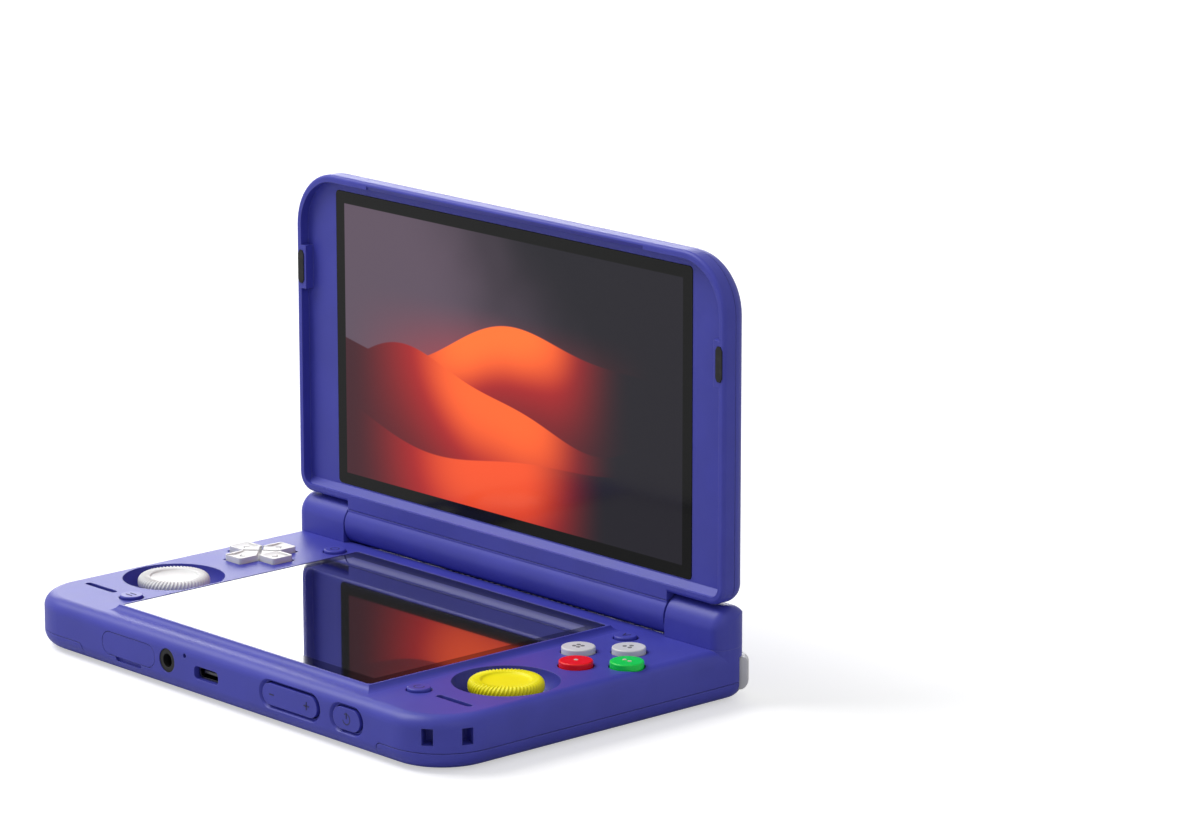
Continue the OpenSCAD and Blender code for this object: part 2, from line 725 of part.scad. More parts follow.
module headphone_jack() {
  color("dimgray") difference() {
    union() {
      translate([jack_x, slot_y + 0.2, jack_z]) wall_plate(3) circle(r = jack_ring_r);
      translate([jack_x - 3, slot_y + 3.1, board_top]) cube([6, 11.5, 4.4]);
    }
    translate([jack_x, slot_y, jack_z]) wall_plate(13.6) circle(r = jack_bore_r);
  }
}

module usb_port() {
  color("silver") translate([port_x, slot_y + 1.6, port_z]) {
    difference() {
      wall_plate(7.4) round_shape(8.94, 3.2, 1.3);
      translate([0, -1, 0]) wall_plate(7.4) round_shape(8.34, 2.56, 1.1);
    }
    translate([0, 0.6, 0]) wall_plate(6) square([6.7, 0.7], center = true);
  }
}

module card_slot() {
  color("silver") difference() {
    translate([door_x - 7, inner_front + 0.6, board_top]) cube([14, 14.5, 2.8]);
    translate([door_x - 5.6, inner_front - 1, door_z - 0.5]) cube([11.2, 15, 0.9]);
  }
}

module card_door() {
  color("slateblue") {
    translate([door_x, slot_y + 0.05, door_z]) wall_plate(1.05) pill_shape(door_len, door_h);
    for (s = [-1, 1]) translate([door_x + s * 8.6 - 0.9, slot_y + 1, door_z - 0.9])
      cube([1.8, 6.5, 1.8]);
  }
}

// Side keys
module volume_rocker() {
  color("slateblue") {
    translate([rocker_x, slot_y, side_key_z]) wall_plate(2.1) pill_shape(rocker_len, side_key_h);
    translate([rocker_x - 1.6, slot_y + 2, side_key_z - 1.3]) cube([3.2, 1.4, 2.6]);
    translate([rocker_x, slot_y + 3.4, side_key_z - 2.2]) cylinder(r = 0.7, h = 4.6);
  }
}

module power_button() {
  color("slateblue") {
    translate([power_x, slot_y, side_key_z]) wall_plate(1.9) pill_shape(power_len, side_key_h);
    translate([power_x, slot_y + 1.85, side_key_z]) wall_plate(0.6)
      pill_shape(power_len + 1.8, side_key_h + 1.2);
    translate([power_x - 1.2, slot_y + 2.4, side_key_z - 1]) cube([2.4, 0.9, 2]);
  }
}

module side_key_board() {
  color("darkgoldenrod") {
    translate([rocker_x - 13, slot_y + 5.4, board_top]) cube([power_x - rocker_x + 21, 0.6, 5]);
    for (x = [rocker_x - 7, rocker_x + 7])
      translate([x - 1.5, slot_y + 4, side_key_z - 1.5]) cube([3, 1.5, 3]);
    translate([power_x - 1.5, slot_y + 4, side_key_z - 1.5]) cube([3, 1.5, 3]);
    difference() {
      for (z = [side_key_z - 2.3, side_key_z + 1.6])
        translate([rocker_x - 1.5, slot_y + 2.2, z]) cube([3, 3.3, 0.9]);
      translate([rocker_x, slot_y + 3.4, 0]) cylinder(r = 0.7 + run_clear, h = 20);
      translate([rocker_x - 2, slot_y, side_key_z - 1.5]) cube([4, 4.3, 3]);
    }
  }
}

// Sticks
module stick_housing() {
  color("dimgray") translate([stick_x, stick_y, 0]) difference() {
    translate([-7.2, -7.2, cover_top]) cube([14.4, 14.4, 6.4 - cover_top]);
    translate([0, 0, cover_top + 0.5]) cylinder(r = 5.6, h = 6);
    translate([-8, 0, pivot_z]) rotate([0, 90, 0]) cylinder(r = yoke_pin_r + run_clear, h = 16);
  }
}

module stick_yoke() {
  color("silver") translate([stick_x, stick_y, pivot_z]) difference() {
    union() {
      translate([0, 0, -0.8]) cylinder(r = 4.7, h = 1.6);
      translate([-6.8, 0, 0]) rotate([0, 90, 0]) cylinder(r = yoke_pin_r, h = 13.6);
    }
    translate([0, 0, -2]) cylinder(r = 3.2, h = 4);
    translate([0, 6, 0]) rotate([90, 0, 0]) cylinder(r = stem_pin_r + run_clear, h = 12);
  }
}

module stick_stem() {
  color("black") translate([stick_x, stick_y, pivot_z]) {
    difference() {
      sphere(r = 2.2);
      translate([-5, -5, 1.8]) cube([10, 10, 5]);
      translate([-5, -5, -6.6]) cube([10, 10, 5]);
    }
    translate([0, 4.4, 0]) rotate([90, 0, 0]) cylinder(r = stem_pin_r, h = 8.8);
    translate([0, 0, 1.5]) cylinder(r = 1.5, h = 5.4);
    translate([-1.5, -1, 6]) cube([3, 2, 2.6]);
  }
}

module stick_cap() {
  z1 = cap_top;
  translate([stick_x, stick_y, 0]) difference() {
    union() {
      rotate_extrude() {
        translate([cap_r - 1.75, z1 - 1.75]) circle(r = 1.75);
        translate([0, z1 - 2.9]) square([cap_r - 1.75, 2.78]);
      }
      translate([0, 0, 9.9]) cylinder(r = 3.6, h = 3);
      translate([0, 0, 11]) cylinder(r = 5.6, h = 1.5);
    }
    translate([0, 0, z1 - 1 + 28]) sphere(r = 28, $fn = 96);
    translate([0, 0, pivot_z]) {
      cylinder(r = 1.5 + 0.02, h = 6.9);
      translate([-1.52, -1.02, 0]) cube([3.04, 2.04, 8.62]);
    }
  }
}

module stick_housing_right() { stick_housing(); }
module stick_yoke_right() { stick_yoke(); }
module stick_stem_right() { stick_stem(); }
module stick_cap_right() { color("gold") stick_cap(); }
module stick_housing_left() { mirror([1, 0, 0]) stick_housing(); }
module stick_yoke_left() { mirror([1, 0, 0]) stick_yoke(); }
module stick_stem_left() { mirror([1, 0, 0]) stick_stem(); }
module stick_cap_left() { color("white") mirror([1, 0, 0]) stick_cap(); }

// Cross pad on a ring: the pad rocks on the ring, the ring rocks in the board
module cross_pad() {
  color("white") translate([-keys_x, keys_y, 0]) difference() {
    union() {
      translate([0, 0, deck_under + 0.4]) linear_extrude(button_top - deck_under - 0.4)
        cross_shape(0);
      translate([0, 0, 9.9]) cylinder(r = 2.2, h = 3.5);
      translate([0, 3.9, 10.6]) rotate([90, 0, 0]) cylinder(r = 0.6, h = 7.8);
    }
    for (a = [45, 135]) rotate([0, 0, a])
      translate([-4.9, -groove_w / 2, button_top - groove_depth]) cube([9.8, groove_w, 2]);
    for (a = [0:90:270]) rotate([0, 0, a])
      translate([6.6, 0, button_top + 11.6]) rotate([90, 0, 0])
        cylinder(r = 12, h = 5.2, center = true, $fn = 96);
  }
}

module cross_pad_ring() {
  color("silver") translate([-keys_x, keys_y, 10.6]) difference() {
    union() {
      translate([0, 0, -0.75]) cylinder(r = 4.6, h = 1.5);
      translate([-6.6, 0, 0]) rotate([0, 90, 0]) cylinder(r = 0.6, h = 13.2);
    }
    translate([0, 0, -2]) cylinder(r = 3, h = 4);
    translate([0, 6, 0]) rotate([90, 0, 0]) cylinder(r = 0.6 + run_clear, h = 12);
  }
}

module key_plate() {
  translate([keys_x - 11, keys_y - 12.2, 7.6]) cube([22, 24.6, 1]);
}

module left_key_board() {
  color("darkgreen") {
    mirror([1, 0, 0]) key_plate();
    translate([-keys_x, keys_y, 8.5]) difference() {
      for (s = [-1, 1]) translate([s * 6.1 - 0.9, -1.5, 0]) cube([1.8, 3, 3.2]);
      translate([-8, 0, 2.1]) rotate([0, 90, 0]) cylinder(r = 0.6 + run_clear, h = 16);
    }
    for (a = [0:90:270]) translate([-keys_x, keys_y, 8.5]) rotate([0, 0, a + 45])
      translate([8.4, 0, 0]) cylinder(r = 1.6, h = 1.2);
  }
}

module right_key_board() {
  color("darkgreen") {
    key_plate();
    for (a = [0:90:270]) translate([keys_x, keys_y, 8.5]) rotate([0, 0, a])
      translate([diamond_r, 0, 0]) difference() {
        cylinder(r = 3.2, h = 1.6);
        translate([0, 0, 0.1]) cylinder(r = 2.3, h = 3);
      }
  }
}

module action_button(a) {
  translate([keys_x, keys_y, 0]) rotate([0, 0, a]) translate([diamond_r, 0, 0]) rotate([0, 0, -a]) {
    rotate_extrude() {
      translate([0, deck_under - 0.5]) square([button_r, button_top - deck_under + 0.1]);
      translate([0, button_top - 0.5]) square([button_r - 0.4, 0.5]);
      translate([button_r - 0.4, button_top - 0.4]) circle(r = 0.4);
    }
    // flange with flats, so that it clears the side wall
    translate([0, 0, deck_under - 0.9]) linear_extrude(0.8) intersection() {
      circle(r = button_r + 0.85);
      square([2 * (button_r + 0.45), 20], center = true);
    }
    translate([0, 0, 9.9]) cylinder(r = 1.8, h = 2);
    translate([-button_r - 0.45, -0.25, deck_under - 0.2]) cube([1, 0.5, 1.6]);
  }
}

module button_east() { color("limegreen") action_button(0); }
module button_north() { color("lightgray") action_button(90); }
module button_west() { color("lightgray") action_button(180); }
module button_south() { color("red") action_button(270); }

module menu_button(y) {
  translate([menu_x, y, 0]) {
    rotate_extrude() {
      translate([0, deck_under - 0.5]) square([menu_r, menu_top - deck_under + 0.1]);
      translate([0, menu_top - 0.5]) square([menu_r - 0.4, 0.5]);
      translate([menu_r - 0.4, menu_top - 0.4]) circle(r = 0.4);
    }
    translate([0, 0, deck_under - 0.9]) cylinder(r = 3.8, h = 0.8);
    translate([0, 0, 7.6]) cylinder(r = 1.2, h = 4.2);
    translate([-menu_r - 0.45, -0.25, deck_under - 0.2]) cube([1, 0.5, 1.4]);
  }
}

module menu_front_right() { color("slateblue") menu_button(menu_front_y); }
module menu_rear_right() { color("slateblue") menu_button(menu_rear_y); }
module menu_front_left() { color("slateblue") mirror([1, 0, 0]) menu_button(menu_front_y); }
module menu_rear_left() { color("slateblue") mirror([1, 0, 0]) menu_button(menu_rear_y); }

// Shoulder buttons, all four turning on two upright pins
module shoulder_shape(r0, r1) {
  z0 = shoulder_z0;
  z1 = shoulder_z1;
  translate([r0, z0]) square([r1 - r0 - 2.4, z1 - z0]);
  translate([r0, z0 + 2.4]) square([r1 - r0, z1 - z0 - 3.6]);
  translate([r0, z1 - 1.21]) square([r1 - r0 - 1.2, 1.21]);
  translate([r1 - 1.2, z1 - 1.2]) circle(r = 1.2);
  intersection() {
    translate([r1 - 2.4, z0 + 2.4]) circle(r = 2.4);
    translate([r0, z0]) square([r1 - r0, 3]);
  }
}

// Arm from a shoulder button to its pin; side is 1 for the outer button, -1 for the inner one
module shoulder_lug(z0, side) {
  difference() {
    union() {
      translate([pin_x, pin_y, z0]) cylinder(r = 2.1, h = 2.2);
      translate([pin_x - 1.3, pin_y, z0]) cube([2.6, 4.3, 2.2]);
      translate([pin_x + side * 1.4 - 0.8, pin_y + 2.4, z0]) cube([1.6, 2.7, 2.2]);
    }
    translate([pin_x, pin_y, z0 - 1]) cylinder(r = shoulder_pin_r + run_clear, h = 5);
  }
}

module shoulder_outer() {
  r0 = pocket_y - half_depth + rear_corner + 1.5;
  r1 = rear_corner + outer_proud;
  color("gainsboro") {
    translate([half_width - rear_corner, half_depth - rear_corner, 0]) {
      difference() {
        rotate_extrude(angle = 90) shoulder_shape(r0, r1);
        rotate([0, 0, 31]) translate([0, -20, 0]) cube([20, 20, 20]);
      }
      rotate([90, 0, -90]) linear_extrude(half_width - rear_corner - pin_x - 0.6)
        mirror([1, 0, 0]) shoulder_shape(r0, r1);
    }
    shoulder_lug(7.2, 1);
  }
}

module shoulder_inner() {
  r0 = pocket_y - half_depth + rear_corner + 1.5;
  r1 = rear_corner + inner_proud;
  color("gainsboro") {
    translate([pin_x - 0.6, half_depth - rear_corner, 0]) rotate([90, 0, -90])
      linear_extrude(11.3) mirror([1, 0, 0]) shoulder_shape(r0, r1);
    shoulder_lug(4.4, -1);
  }
}

module shoulder_pin() {
  color("silver") translate([pin_x, pin_y, cover_top]) {
    cylinder(r = shoulder_pin_r, h = deck_under - cover_top);
  }
}

module shoulder_outer_right() { shoulder_outer(); }
module shoulder_inner_right() { shoulder_inner(); }
module shoulder_pin_right() { shoulder_pin(); }
module shoulder_outer_left() { mirror([1, 0, 0]) shoulder_outer(); }
module shoulder_inner_left() { mirror([1, 0, 0]) shoulder_inner(); }
module shoulder_pin_left() { mirror([1, 0, 0]) shoulder_pin(); }

// Hinge
module hinge_barrel() {
  color("gray") difference() {
    axis_rod(ear_x + 0.2, half_width - 3, friction_r);
    axis_rod(ear_x - 1, half_width - 6, shaft_r + run_clear);
  }
}

module hinge_shaft() {
  color("silver") {
    axis_rod(mid_bay_x, half_width - 6.4, shaft_r);
    axis_rod(mid_bay_x - 2, mid_bay_x + 0.5, 1.4);
  }
}

module hinge_barrel_right() { hinge_barrel(); }
module hinge_shaft_right() { hinge_shaft(); }
module hinge_barrel_left() { mirror([1, 0, 0]) hinge_barrel(); }
module hinge_shaft_left() { mirror([1, 0, 0]) hinge_shaft(); }

module vent_grille() {
  color("dimgray") difference() {
    union() {
      translate([-vent_x, axis_y - 3.7, 11.4]) cube([2 * vent_x, 5.8, 1]);
      translate([1 - vent_x, axis_y - 2.7, 10.9]) cube([2 * vent_x - 2, 4.6, 0.6]);
    }
    for (x = [3 - vent_x:2.4:vent_x - 3]) translate([x, axis_y - 0.4, 10]) linear_extrude(4)
      rotate(90) pill_shape(3.6, 1.1);
  }
}

// Lid
module lid_solid() {
  rotate([-90, 0, 0]) soft_block(half_width, -lid_z1, -lid_z0, lid_front, lid_back,
    lid_top_corner, lid_low_corner, lid_back_round, lid_front_round);
}

module lid_room(y0, y1, m) {
  translate([0, y0, 0]) wall_plate(y1 - y0) mirror([0, 1])
    plan_shape(half_width - m, -lid_z1 + m, -lid_z0 - m, lid_top_corner - m, lid_low_corner - m);
}

module lid_mass() {
  lid_solid();
  translate([-barrel_x, lid_front, axis_z]) cube([2 * barrel_x, lid_back - lid_front, 9]);
  axis_rod(-barrel_x, barrel_x, barrel_r);
}

module lid_bezel() {
  color("slateblue") difference() {
    union() {
      difference() {
        intersection() {
          lid_mass();
          translate([-far, lid_split - seam_gap - far, axis_z + 4.4]) cube([2 * far, far, 2 * far]);
        }
        lid_room(lid_front - 10, face_y, rim_w);
        // relief where the closed lid clears the front of the screen frame
        translate([-low_glass_w / 2 - 4.5, 0, lid_z1 - rim_w]) rotate([90, 0, 90])
          linear_extrude(low_glass_w + 9)
            polygon([[lid_front - 0.5, -0.5], [lid_front, relief_w], [lid_front + relief_d, 0],
              [lid_front + relief_d, -0.5]]);
      }
      // rim widened for the bumpers, and the slope above the lower rim
      both_sides() translate([half_width - 4, lid_front, pad_z - 6])
        cube([3, rim_depth + 0.5, 12]);
      translate([-half_width + rim_w, 0, lid_z0 + rim_w]) rotate([90, 0, 90])
        linear_extrude(2 * (half_width - rim_w))
          polygon([[lid_front + 0.5, -0.1], [face_y + 0.1, -0.1], [face_y + 0.1, 1.7]]);
    }
    translate([0, glass_front, up_glass_z]) wall_plate(up_glass_t + 0.05)
      round_shape(up_glass_w + 2 * seat_gap, up_glass_h + 2 * seat_gap, 1.3);
    translate([0, lid_front, up_glass_z]) wall_plate(8)
      round_shape(up_glass_w - 5.4, up_glass_h - 4.8, 1);
    both_sides() translate([pad_x, lid_front - 2, pad_z]) wall_plate(3) pad_shape(2.4, 9.1);
  }
}

module pad_shape(w, h) {
  polygon([[-w / 2, -h / 2 + 1], [-w / 4, -h / 2], [w / 4, -h / 2], [w / 2, -h / 2 + 1],
    [w / 2, h / 2 - 1], [w / 4, h / 2], [-w / 4, h / 2], [-w / 2, h / 2 - 1]]);
}

module lid_bumpers() {
  color("black") both_sides() translate([pad_x, lid_front - 0.2, pad_z]) wall_plate(1.2)
    pad_shape(2.3, 9);
}

module lid_back_shell() {
  color("slateblue") difference() {
    union() {
      difference() {
        intersection() {
          lid_mass();
          translate([-far, lid_split, 0]) cube([2 * far, far, 2 * far]);
        }
        lid_room(lid_split - 1, lid_back - 1.6, wall);
      }
      axis_rod(-barrel_x, barrel_x, core_r);
      both_sides() for (z = [lid_z0 + 14.5, lid_z1 - 11])
        translate([half_width - 8, lid_back - 1.5, z])
          rotate([90, 0, 0]) cylinder(r = 2, h = lid_back - 1.5 - lid_split);
    }
    both_sides() axis_rod(mid_bay_x, ear_x, shaft_r + 0.02);
    axis_rod(-mid_bay_x, mid_bay_x, 2.6);
  }
}

module hinge_cover() {
  color("slateblue") difference() {
    intersection() {
      lid_mass();
      translate([-barrel_x, lid_split - seam_gap - far, 0]) cube([2 * barrel_x, far, axis_z + 4.25]);
    }
    axis_rod(-ear_x, ear_x, core_r + 0.05);
  }
}

module upper_glass() {
  color("black") translate([0, glass_front, up_glass_z]) wall_plate(up_glass_t)
    round_shape(up_glass_w, up_glass_h, 1.2);
}

module upper_display() {
  color("darkgray") translate([0, glass_front + up_glass_t, up_glass_z]) wall_plate(1.7)
    round_shape(up_glass_w - 6, up_glass_h - 5.4, 0.8);
}

base_top_shell();
base_bottom_cover();
rubber_feet();
case_screws();
lower_glass();
lower_display();
mainboard();
battery();
blower_case();
blower_wheel();
heat_sink();
speaker_left();
speaker_right();
headphone_jack();
usb_port();
card_slot();
card_door();
volume_rocker();
power_button();
side_key_board();
stick_housing_left();
stick_yoke_left();
stick_stem_left();
stick_cap_left();
stick_housing_right();
stick_yoke_right();
stick_stem_right();
stick_cap_right();
cross_pad();
cross_pad_ring();
left_key_board();
right_key_board();
button_north();
button_east();
button_south();
button_west();
menu_front_left();
menu_rear_left();
menu_front_right();
menu_rear_right();
shoulder_outer_left();
shoulder_inner_left();
shoulder_outer_right();
shoulder_inner_right();
shoulder_pin_left();
shoulder_pin_right();
hinge_ear_left();
hinge_ear_right();
hinge_barrel_left();
hinge_barrel_right();
hinge_shaft_left();
hinge_shaft_right();
vent_grille();
lid_back_shell();
lid_bezel();
hinge_cover();
upper_glass();
upper_display();
lid_bumpers();
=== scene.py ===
import math

import bpy
from bpy.props import FloatProperty, FloatVectorProperty, IntProperty, PointerProperty
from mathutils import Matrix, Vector


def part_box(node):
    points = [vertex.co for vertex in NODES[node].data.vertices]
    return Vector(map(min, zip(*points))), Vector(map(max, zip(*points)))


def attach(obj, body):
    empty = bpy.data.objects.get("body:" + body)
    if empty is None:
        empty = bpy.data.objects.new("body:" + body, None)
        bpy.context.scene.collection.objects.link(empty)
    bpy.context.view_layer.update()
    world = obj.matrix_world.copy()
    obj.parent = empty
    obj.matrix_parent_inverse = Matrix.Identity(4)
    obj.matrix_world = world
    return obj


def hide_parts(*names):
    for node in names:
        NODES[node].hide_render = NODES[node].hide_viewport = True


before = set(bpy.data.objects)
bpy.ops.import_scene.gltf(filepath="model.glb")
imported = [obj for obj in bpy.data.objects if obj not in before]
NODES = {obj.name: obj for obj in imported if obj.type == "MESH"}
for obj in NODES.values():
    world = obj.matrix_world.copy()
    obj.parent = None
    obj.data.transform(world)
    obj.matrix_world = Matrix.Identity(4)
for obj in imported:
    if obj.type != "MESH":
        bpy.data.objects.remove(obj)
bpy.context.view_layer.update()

bl_info = {
    "name": "Clamshell Handheld",
    "version": (1, 0, 0),
    "blender": (4, 5, 0),
    "location": "3D View > Sidebar > Handheld",
    "description": "Finishes, knurled stick caps, key marks and a studio for a clamshell handheld",
    "category": "Object",
}

MM = 0.001
LID_MIDDLE = (0, 0, 60)
DECK_MIDDLE = (0, 0, 15)
# Lamps: name, place, aim, width and height in millimetres, then power in watts
LAMPS = (
    ("key lamp", (-820, -470, 1250), LID_MIDDLE, 900, 900, 18),
    ("rear lamp", (-1210, 960, 440), DECK_MIDDLE, 1000, 560, 7),
    ("side lamp", (1100, -300, 900), LID_MIDDLE, 700, 700, 1.5),
)
SIDES = ("left", "right")


# Small readings of the frame
def low(node):
    """Lowest corner of a CAD node, in millimetres."""
    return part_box(node)[0] / MM


def high(node):
    """Highest corner of a CAD node, in millimetres."""
    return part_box(node)[1] / MM


def middle(node):
    """Middle of a CAD node's box, in millimetres."""
    return (low(node) + high(node)) / 2


def srgb(red, green, blue):
    """A colour picked on screen from 0 to 255, as the linear colour that a material needs."""
    linear = []
    for level in (red, green, blue):
        share = level / 255
        linear.append(share / 12.92 if share <= 0.04045 else ((share + 0.055) / 1.055) ** 2.4)
    return tuple(linear)


def colour_property(name, description, default):
    return FloatVectorProperty(
        name=name, description=description, default=default, subtype="COLOR", size=3, min=0, max=1
    )


class PlasticSettings(bpy.types.PropertyGroup):
    """Colours of the moulded pieces."""

    case: colour_property("Case", "Colour of the case and lid", srgb(67, 70, 174))
    white: colour_property("White keys", "Colour of the cross pad and left stick", srgb(236, 236, 236))
    grey: colour_property("Grey keys", "Colour of the grey and shoulder buttons", srgb(226, 226, 229))
    yellow: colour_property("Yellow cap", "Colour of the right stick", srgb(255, 244, 4))
    red: colour_property("Red key", "Colour of the front action button", srgb(250, 12, 20))
    green: colour_property("Green key", "Colour of the right action button", srgb(8, 226, 84))
    grain: FloatProperty(
        name="Grain", description="Size of the fine mould texture in millimetres",
        default=0.3, min=0.05, max=2,
    )
    # Painted highlight: how far the base colour is painted lighter on every rounded edge of the plastic
    edge_highlight: FloatProperty(
        name="Edge wear", description="How much lighter the handled edges are", default=0.35,
        min=0, max=1, subtype="FACTOR",
    )


class CapSettings(bpy.types.PropertyGroup):
    """Shape of the knurled stick caps, in millimetres."""

    ribs: IntProperty(name="Ribs", description="Ribs round the rim", default=56, min=20, max=90)
    rib_height: FloatProperty(name="Rib height", description="How far a rib stands out", default=0.24)
    lean: FloatProperty(
        name="Lean", description="Turn of a rib from its foot to its top", default=math.radians(16),
        unit="ROTATION",
    )
    rim: FloatProperty(name="Rim", description="Rounding of the rim, above and below", default=1.45)
    height: FloatProperty(name="Height", description="Height of the knurled disc", default=3.4)
    dish: FloatProperty(name="Dish", description="Depth of the thumb dish", default=0.85)
    lid_room: FloatProperty(
        name="Lid room", description="How far the ribbed rim stays under the plain cap's top", default=0.2
    )


class MarkSettings(bpy.types.PropertyGroup):
    """Sizes of the marks on the keys, in millimetres."""

    rise: FloatProperty(name="Rise", description="How far a mark stands out of its key", default=0.02)
    sunk: FloatProperty(name="Sunk", description="How deep a mark is let into its key", default=0.15)
    stroke: FloatProperty(name="Stroke", description="Width of a line", default=0.32)
    dot: FloatProperty(name="Dot", description="Radius of a dot on an action button", default=0.55)


class PictureSettings(bpy.types.PropertyGroup):
    """Picture on the upper screen, and the size of the lower one."""

    width: FloatProperty(name="Width", description="Width of the lit area in millimetres", default=132.8)
    height: FloatProperty(name="Height", description="Height of the lit area in millimetres", default=74.7)
    sky: colour_property("Sky", "Evening sky at the left", srgb(84, 70, 84))
    night: colour_property("Night", "Sky at the right", srgb(24, 22, 30))
    glow: colour_property("Glow", "Brightest part of the dunes", srgb(255, 112, 44))
    ember: colour_property("Ember", "Middle tone of the dunes", srgb(206, 34, 30))
    shade: colour_property("Shade", "Foot of the dunes", srgb(58, 20, 30))
    strength: FloatProperty(name="Strength", description="Brightness of the picture", default=1.25)
    lower_width: FloatProperty(
        name="Lower width", description="Width of the lower screen's active area", default=93.4
    )
    lower_depth: FloatProperty(
        name="Lower depth", description="Depth of the lower screen's active area", default=71.0
    )


class StageSettings(bpy.types.PropertyGroup):
    """Camera, lamps and floor, in millimetres."""

    camera: FloatVectorProperty(
        name="Camera", description="Where the camera stands", default=(977.1, -817.2, 368.8), size=3
    )
    aim: FloatVectorProperty(
        name="Aim", description="Point in the middle of the frame", default=(32.2, 47.8, 67.4), size=3
    )
    lens: FloatProperty(name="Lens", description="Focal length of a 36 mm wide frame", default=153.45)
    floor: FloatProperty(name="Floor", description="Half width of the floor", default=4000)
    floor_glow: FloatProperty(
        name="Floor glow", description="How much brighter the camera alone sees the floor", default=0.52
    )
    sky: FloatProperty(name="Sky", description="Strength of the soft light all round", default=0.52)


# Materials
class Reading:
    """A number that varies over a surface; arithmetic on it adds Math nodes."""

    def __init__(self, finish, socket):
        self.finish = finish
        self.socket = socket

    def math(self, operation, *others, clamp=False):
        values = dict(enumerate((self, *others)))
        settings = {"operation": operation, "use_clamp": clamp}
        return self.finish.add("ShaderNodeMath", settings, values)["Value"]

    def __add__(self, other):
        return self.math("ADD", other)

    def __mul__(self, other):
        return self.math("MULTIPLY", other)

    def __sub__(self, other):
        return self.math("SUBTRACT", other)

    def __truediv__(self, other):
        return self.math("DIVIDE", other)

    def __neg__(self):
        return self.math("MULTIPLY", -1.0)

    def __rsub__(self, other):
        return (-self).math("ADD", other)

    __radd__ = __add__
    __rmul__ = __mul__

    def absolute(self):
        return self.math("ABSOLUTE")

    def sine(self):
        return self.math("SINE")

    def step(self, start, end):
        """Smooth change from 0 at start to 1 at end."""
        settings = {"interpolation_type": "SMOOTHSTEP"}
        values = {"Value": self, "From Min": start, "From Max": end}
        return self.finish.add("ShaderNodeMapRange", settings, values)["Result"]

    def level(self, start, end):
        """Straight change from 0 at start to 1 at end."""
        values = {"Value": self, "From Min": start, "From Max": end}
        return self.finish.add("ShaderNodeMapRange", {}, values)["Result"]


class Node:
    """A node whose outputs are read by name."""

    def __init__(self, finish, node):
        self.finish = finish
        self.node = node

    def __getitem__(self, name):
        for socket in self.node.outputs:
            if name in (socket.identifier, socket.name) and socket.enabled:
                return Reading(self.finish, socket)
        raise KeyError(f"{self.node.bl_idname} has no output {name}")


class Finish:
    """A material while it is put together."""

    def __init__(self, name):
        self.material = bpy.data.materials.new(name)
        self.material.use_nodes = True
        self.tree = self.material.node_tree
        self.tree.nodes.clear()
        self.place = self.add("ShaderNodeTexCoord")["Object"]

    def add(self, kind, settings=None, values=None):
        """Adds a node, sets its settings and then its sockets, from numbers, colours or readings."""
        node = self.tree.nodes.new(kind)
        node.location = (220 * len(self.tree.nodes), 0)
        for name, setting in (settings or {}).items():
            setattr(node, name, setting)
        for name, value in (values or {}).items():
            socket = self.socket(node, name)
            if isinstance(value, Reading):
                self.tree.links.new(value.socket, socket)
            elif socket.type == "RGBA":
                socket.default_value = (*value[:3], 1)
            else:
                socket.default_value = value
        return Node(self, node)

    @staticmethod
    def socket(node, name):
        if isinstance(name, int):
            return node.inputs[name]
        found = [s for s in node.inputs if name in (s.identifier, s.name) and s.enabled]
        if not found:
            raise KeyError(f"{node.bl_idname} has no input {name}")
        return found[0]

    def noise(self, size, detail=2.0, rough=0.5, place=None):
        """Soft noise from 0 to 1 with features of that size in millimetres."""
        values = {"Vector": place or self.place, "Scale": 1 / (size * MM)}
        values |= {"Detail": detail, "Roughness": rough}
        return self.add("ShaderNodeTexNoise", {}, values)["Fac"]

    def stretched(self, across):
        """The place with its axes scaled, for brushed lines and slanted patterns."""
        return self.add("ShaderNodeMapping", {}, {"Vector": self.place, "Scale": across})["Vector"]

    def axes(self):
        """The three coordinates in millimetres."""
        parts = self.add("ShaderNodeSeparateXYZ", {}, {"Vector": self.place})
        return [parts[axis] * (1 / MM) for axis in "XYZ"]

    def mix(self, factor, first, second):
        """A colour between two colours."""
        values = {"Factor_Float": factor, "A_Color": first, "B_Color": second}
        return self.add("ShaderNodeMix", {"data_type": "RGBA"}, values)["Result_Color"]

    def rounded(self, radius):
        """Normal with every sharp edge rounded by that radius in millimetres."""
        return self.add("ShaderNodeBevel", {"samples": 6}, {"Radius": radius * MM})["Normal"]

    def edges(self, normal):
        """Mask from 0 on the flats to 1 on the edges that the rounded normal shows."""
        flat = self.add("ShaderNodeNewGeometry")["Normal"]
        same = self.add("ShaderNodeVectorMath", {"operation": "DOT_PRODUCT"}, {0: normal, 1: flat})
        return (1 - same["Value"]).level(0.02, 0.3)

    def bump(self, height, depth, normal=None, strength=1.0):
        """Normal with that height laid over it; depth is in millimetres."""
        values = {"Height": height, "Distance": depth * MM, "Strength": strength}
        if normal:
            values["Normal"] = normal
        return self.add("ShaderNodeBump", {}, values)["Normal"]

    def surface(self, **values):
        """The main shader, joined to the output. Names are its sockets' names with _ for a space."""
        values = {name.replace("_", " "): value for name, value in values.items()}
        shader = self.add("ShaderNodeBsdfPrincipled", {}, values)["BSDF"]
        return self.show(shader)

    def show(self, shader):
        self.add("ShaderNodeOutputMaterial", {}, {"Surface": shader})
        return self.material


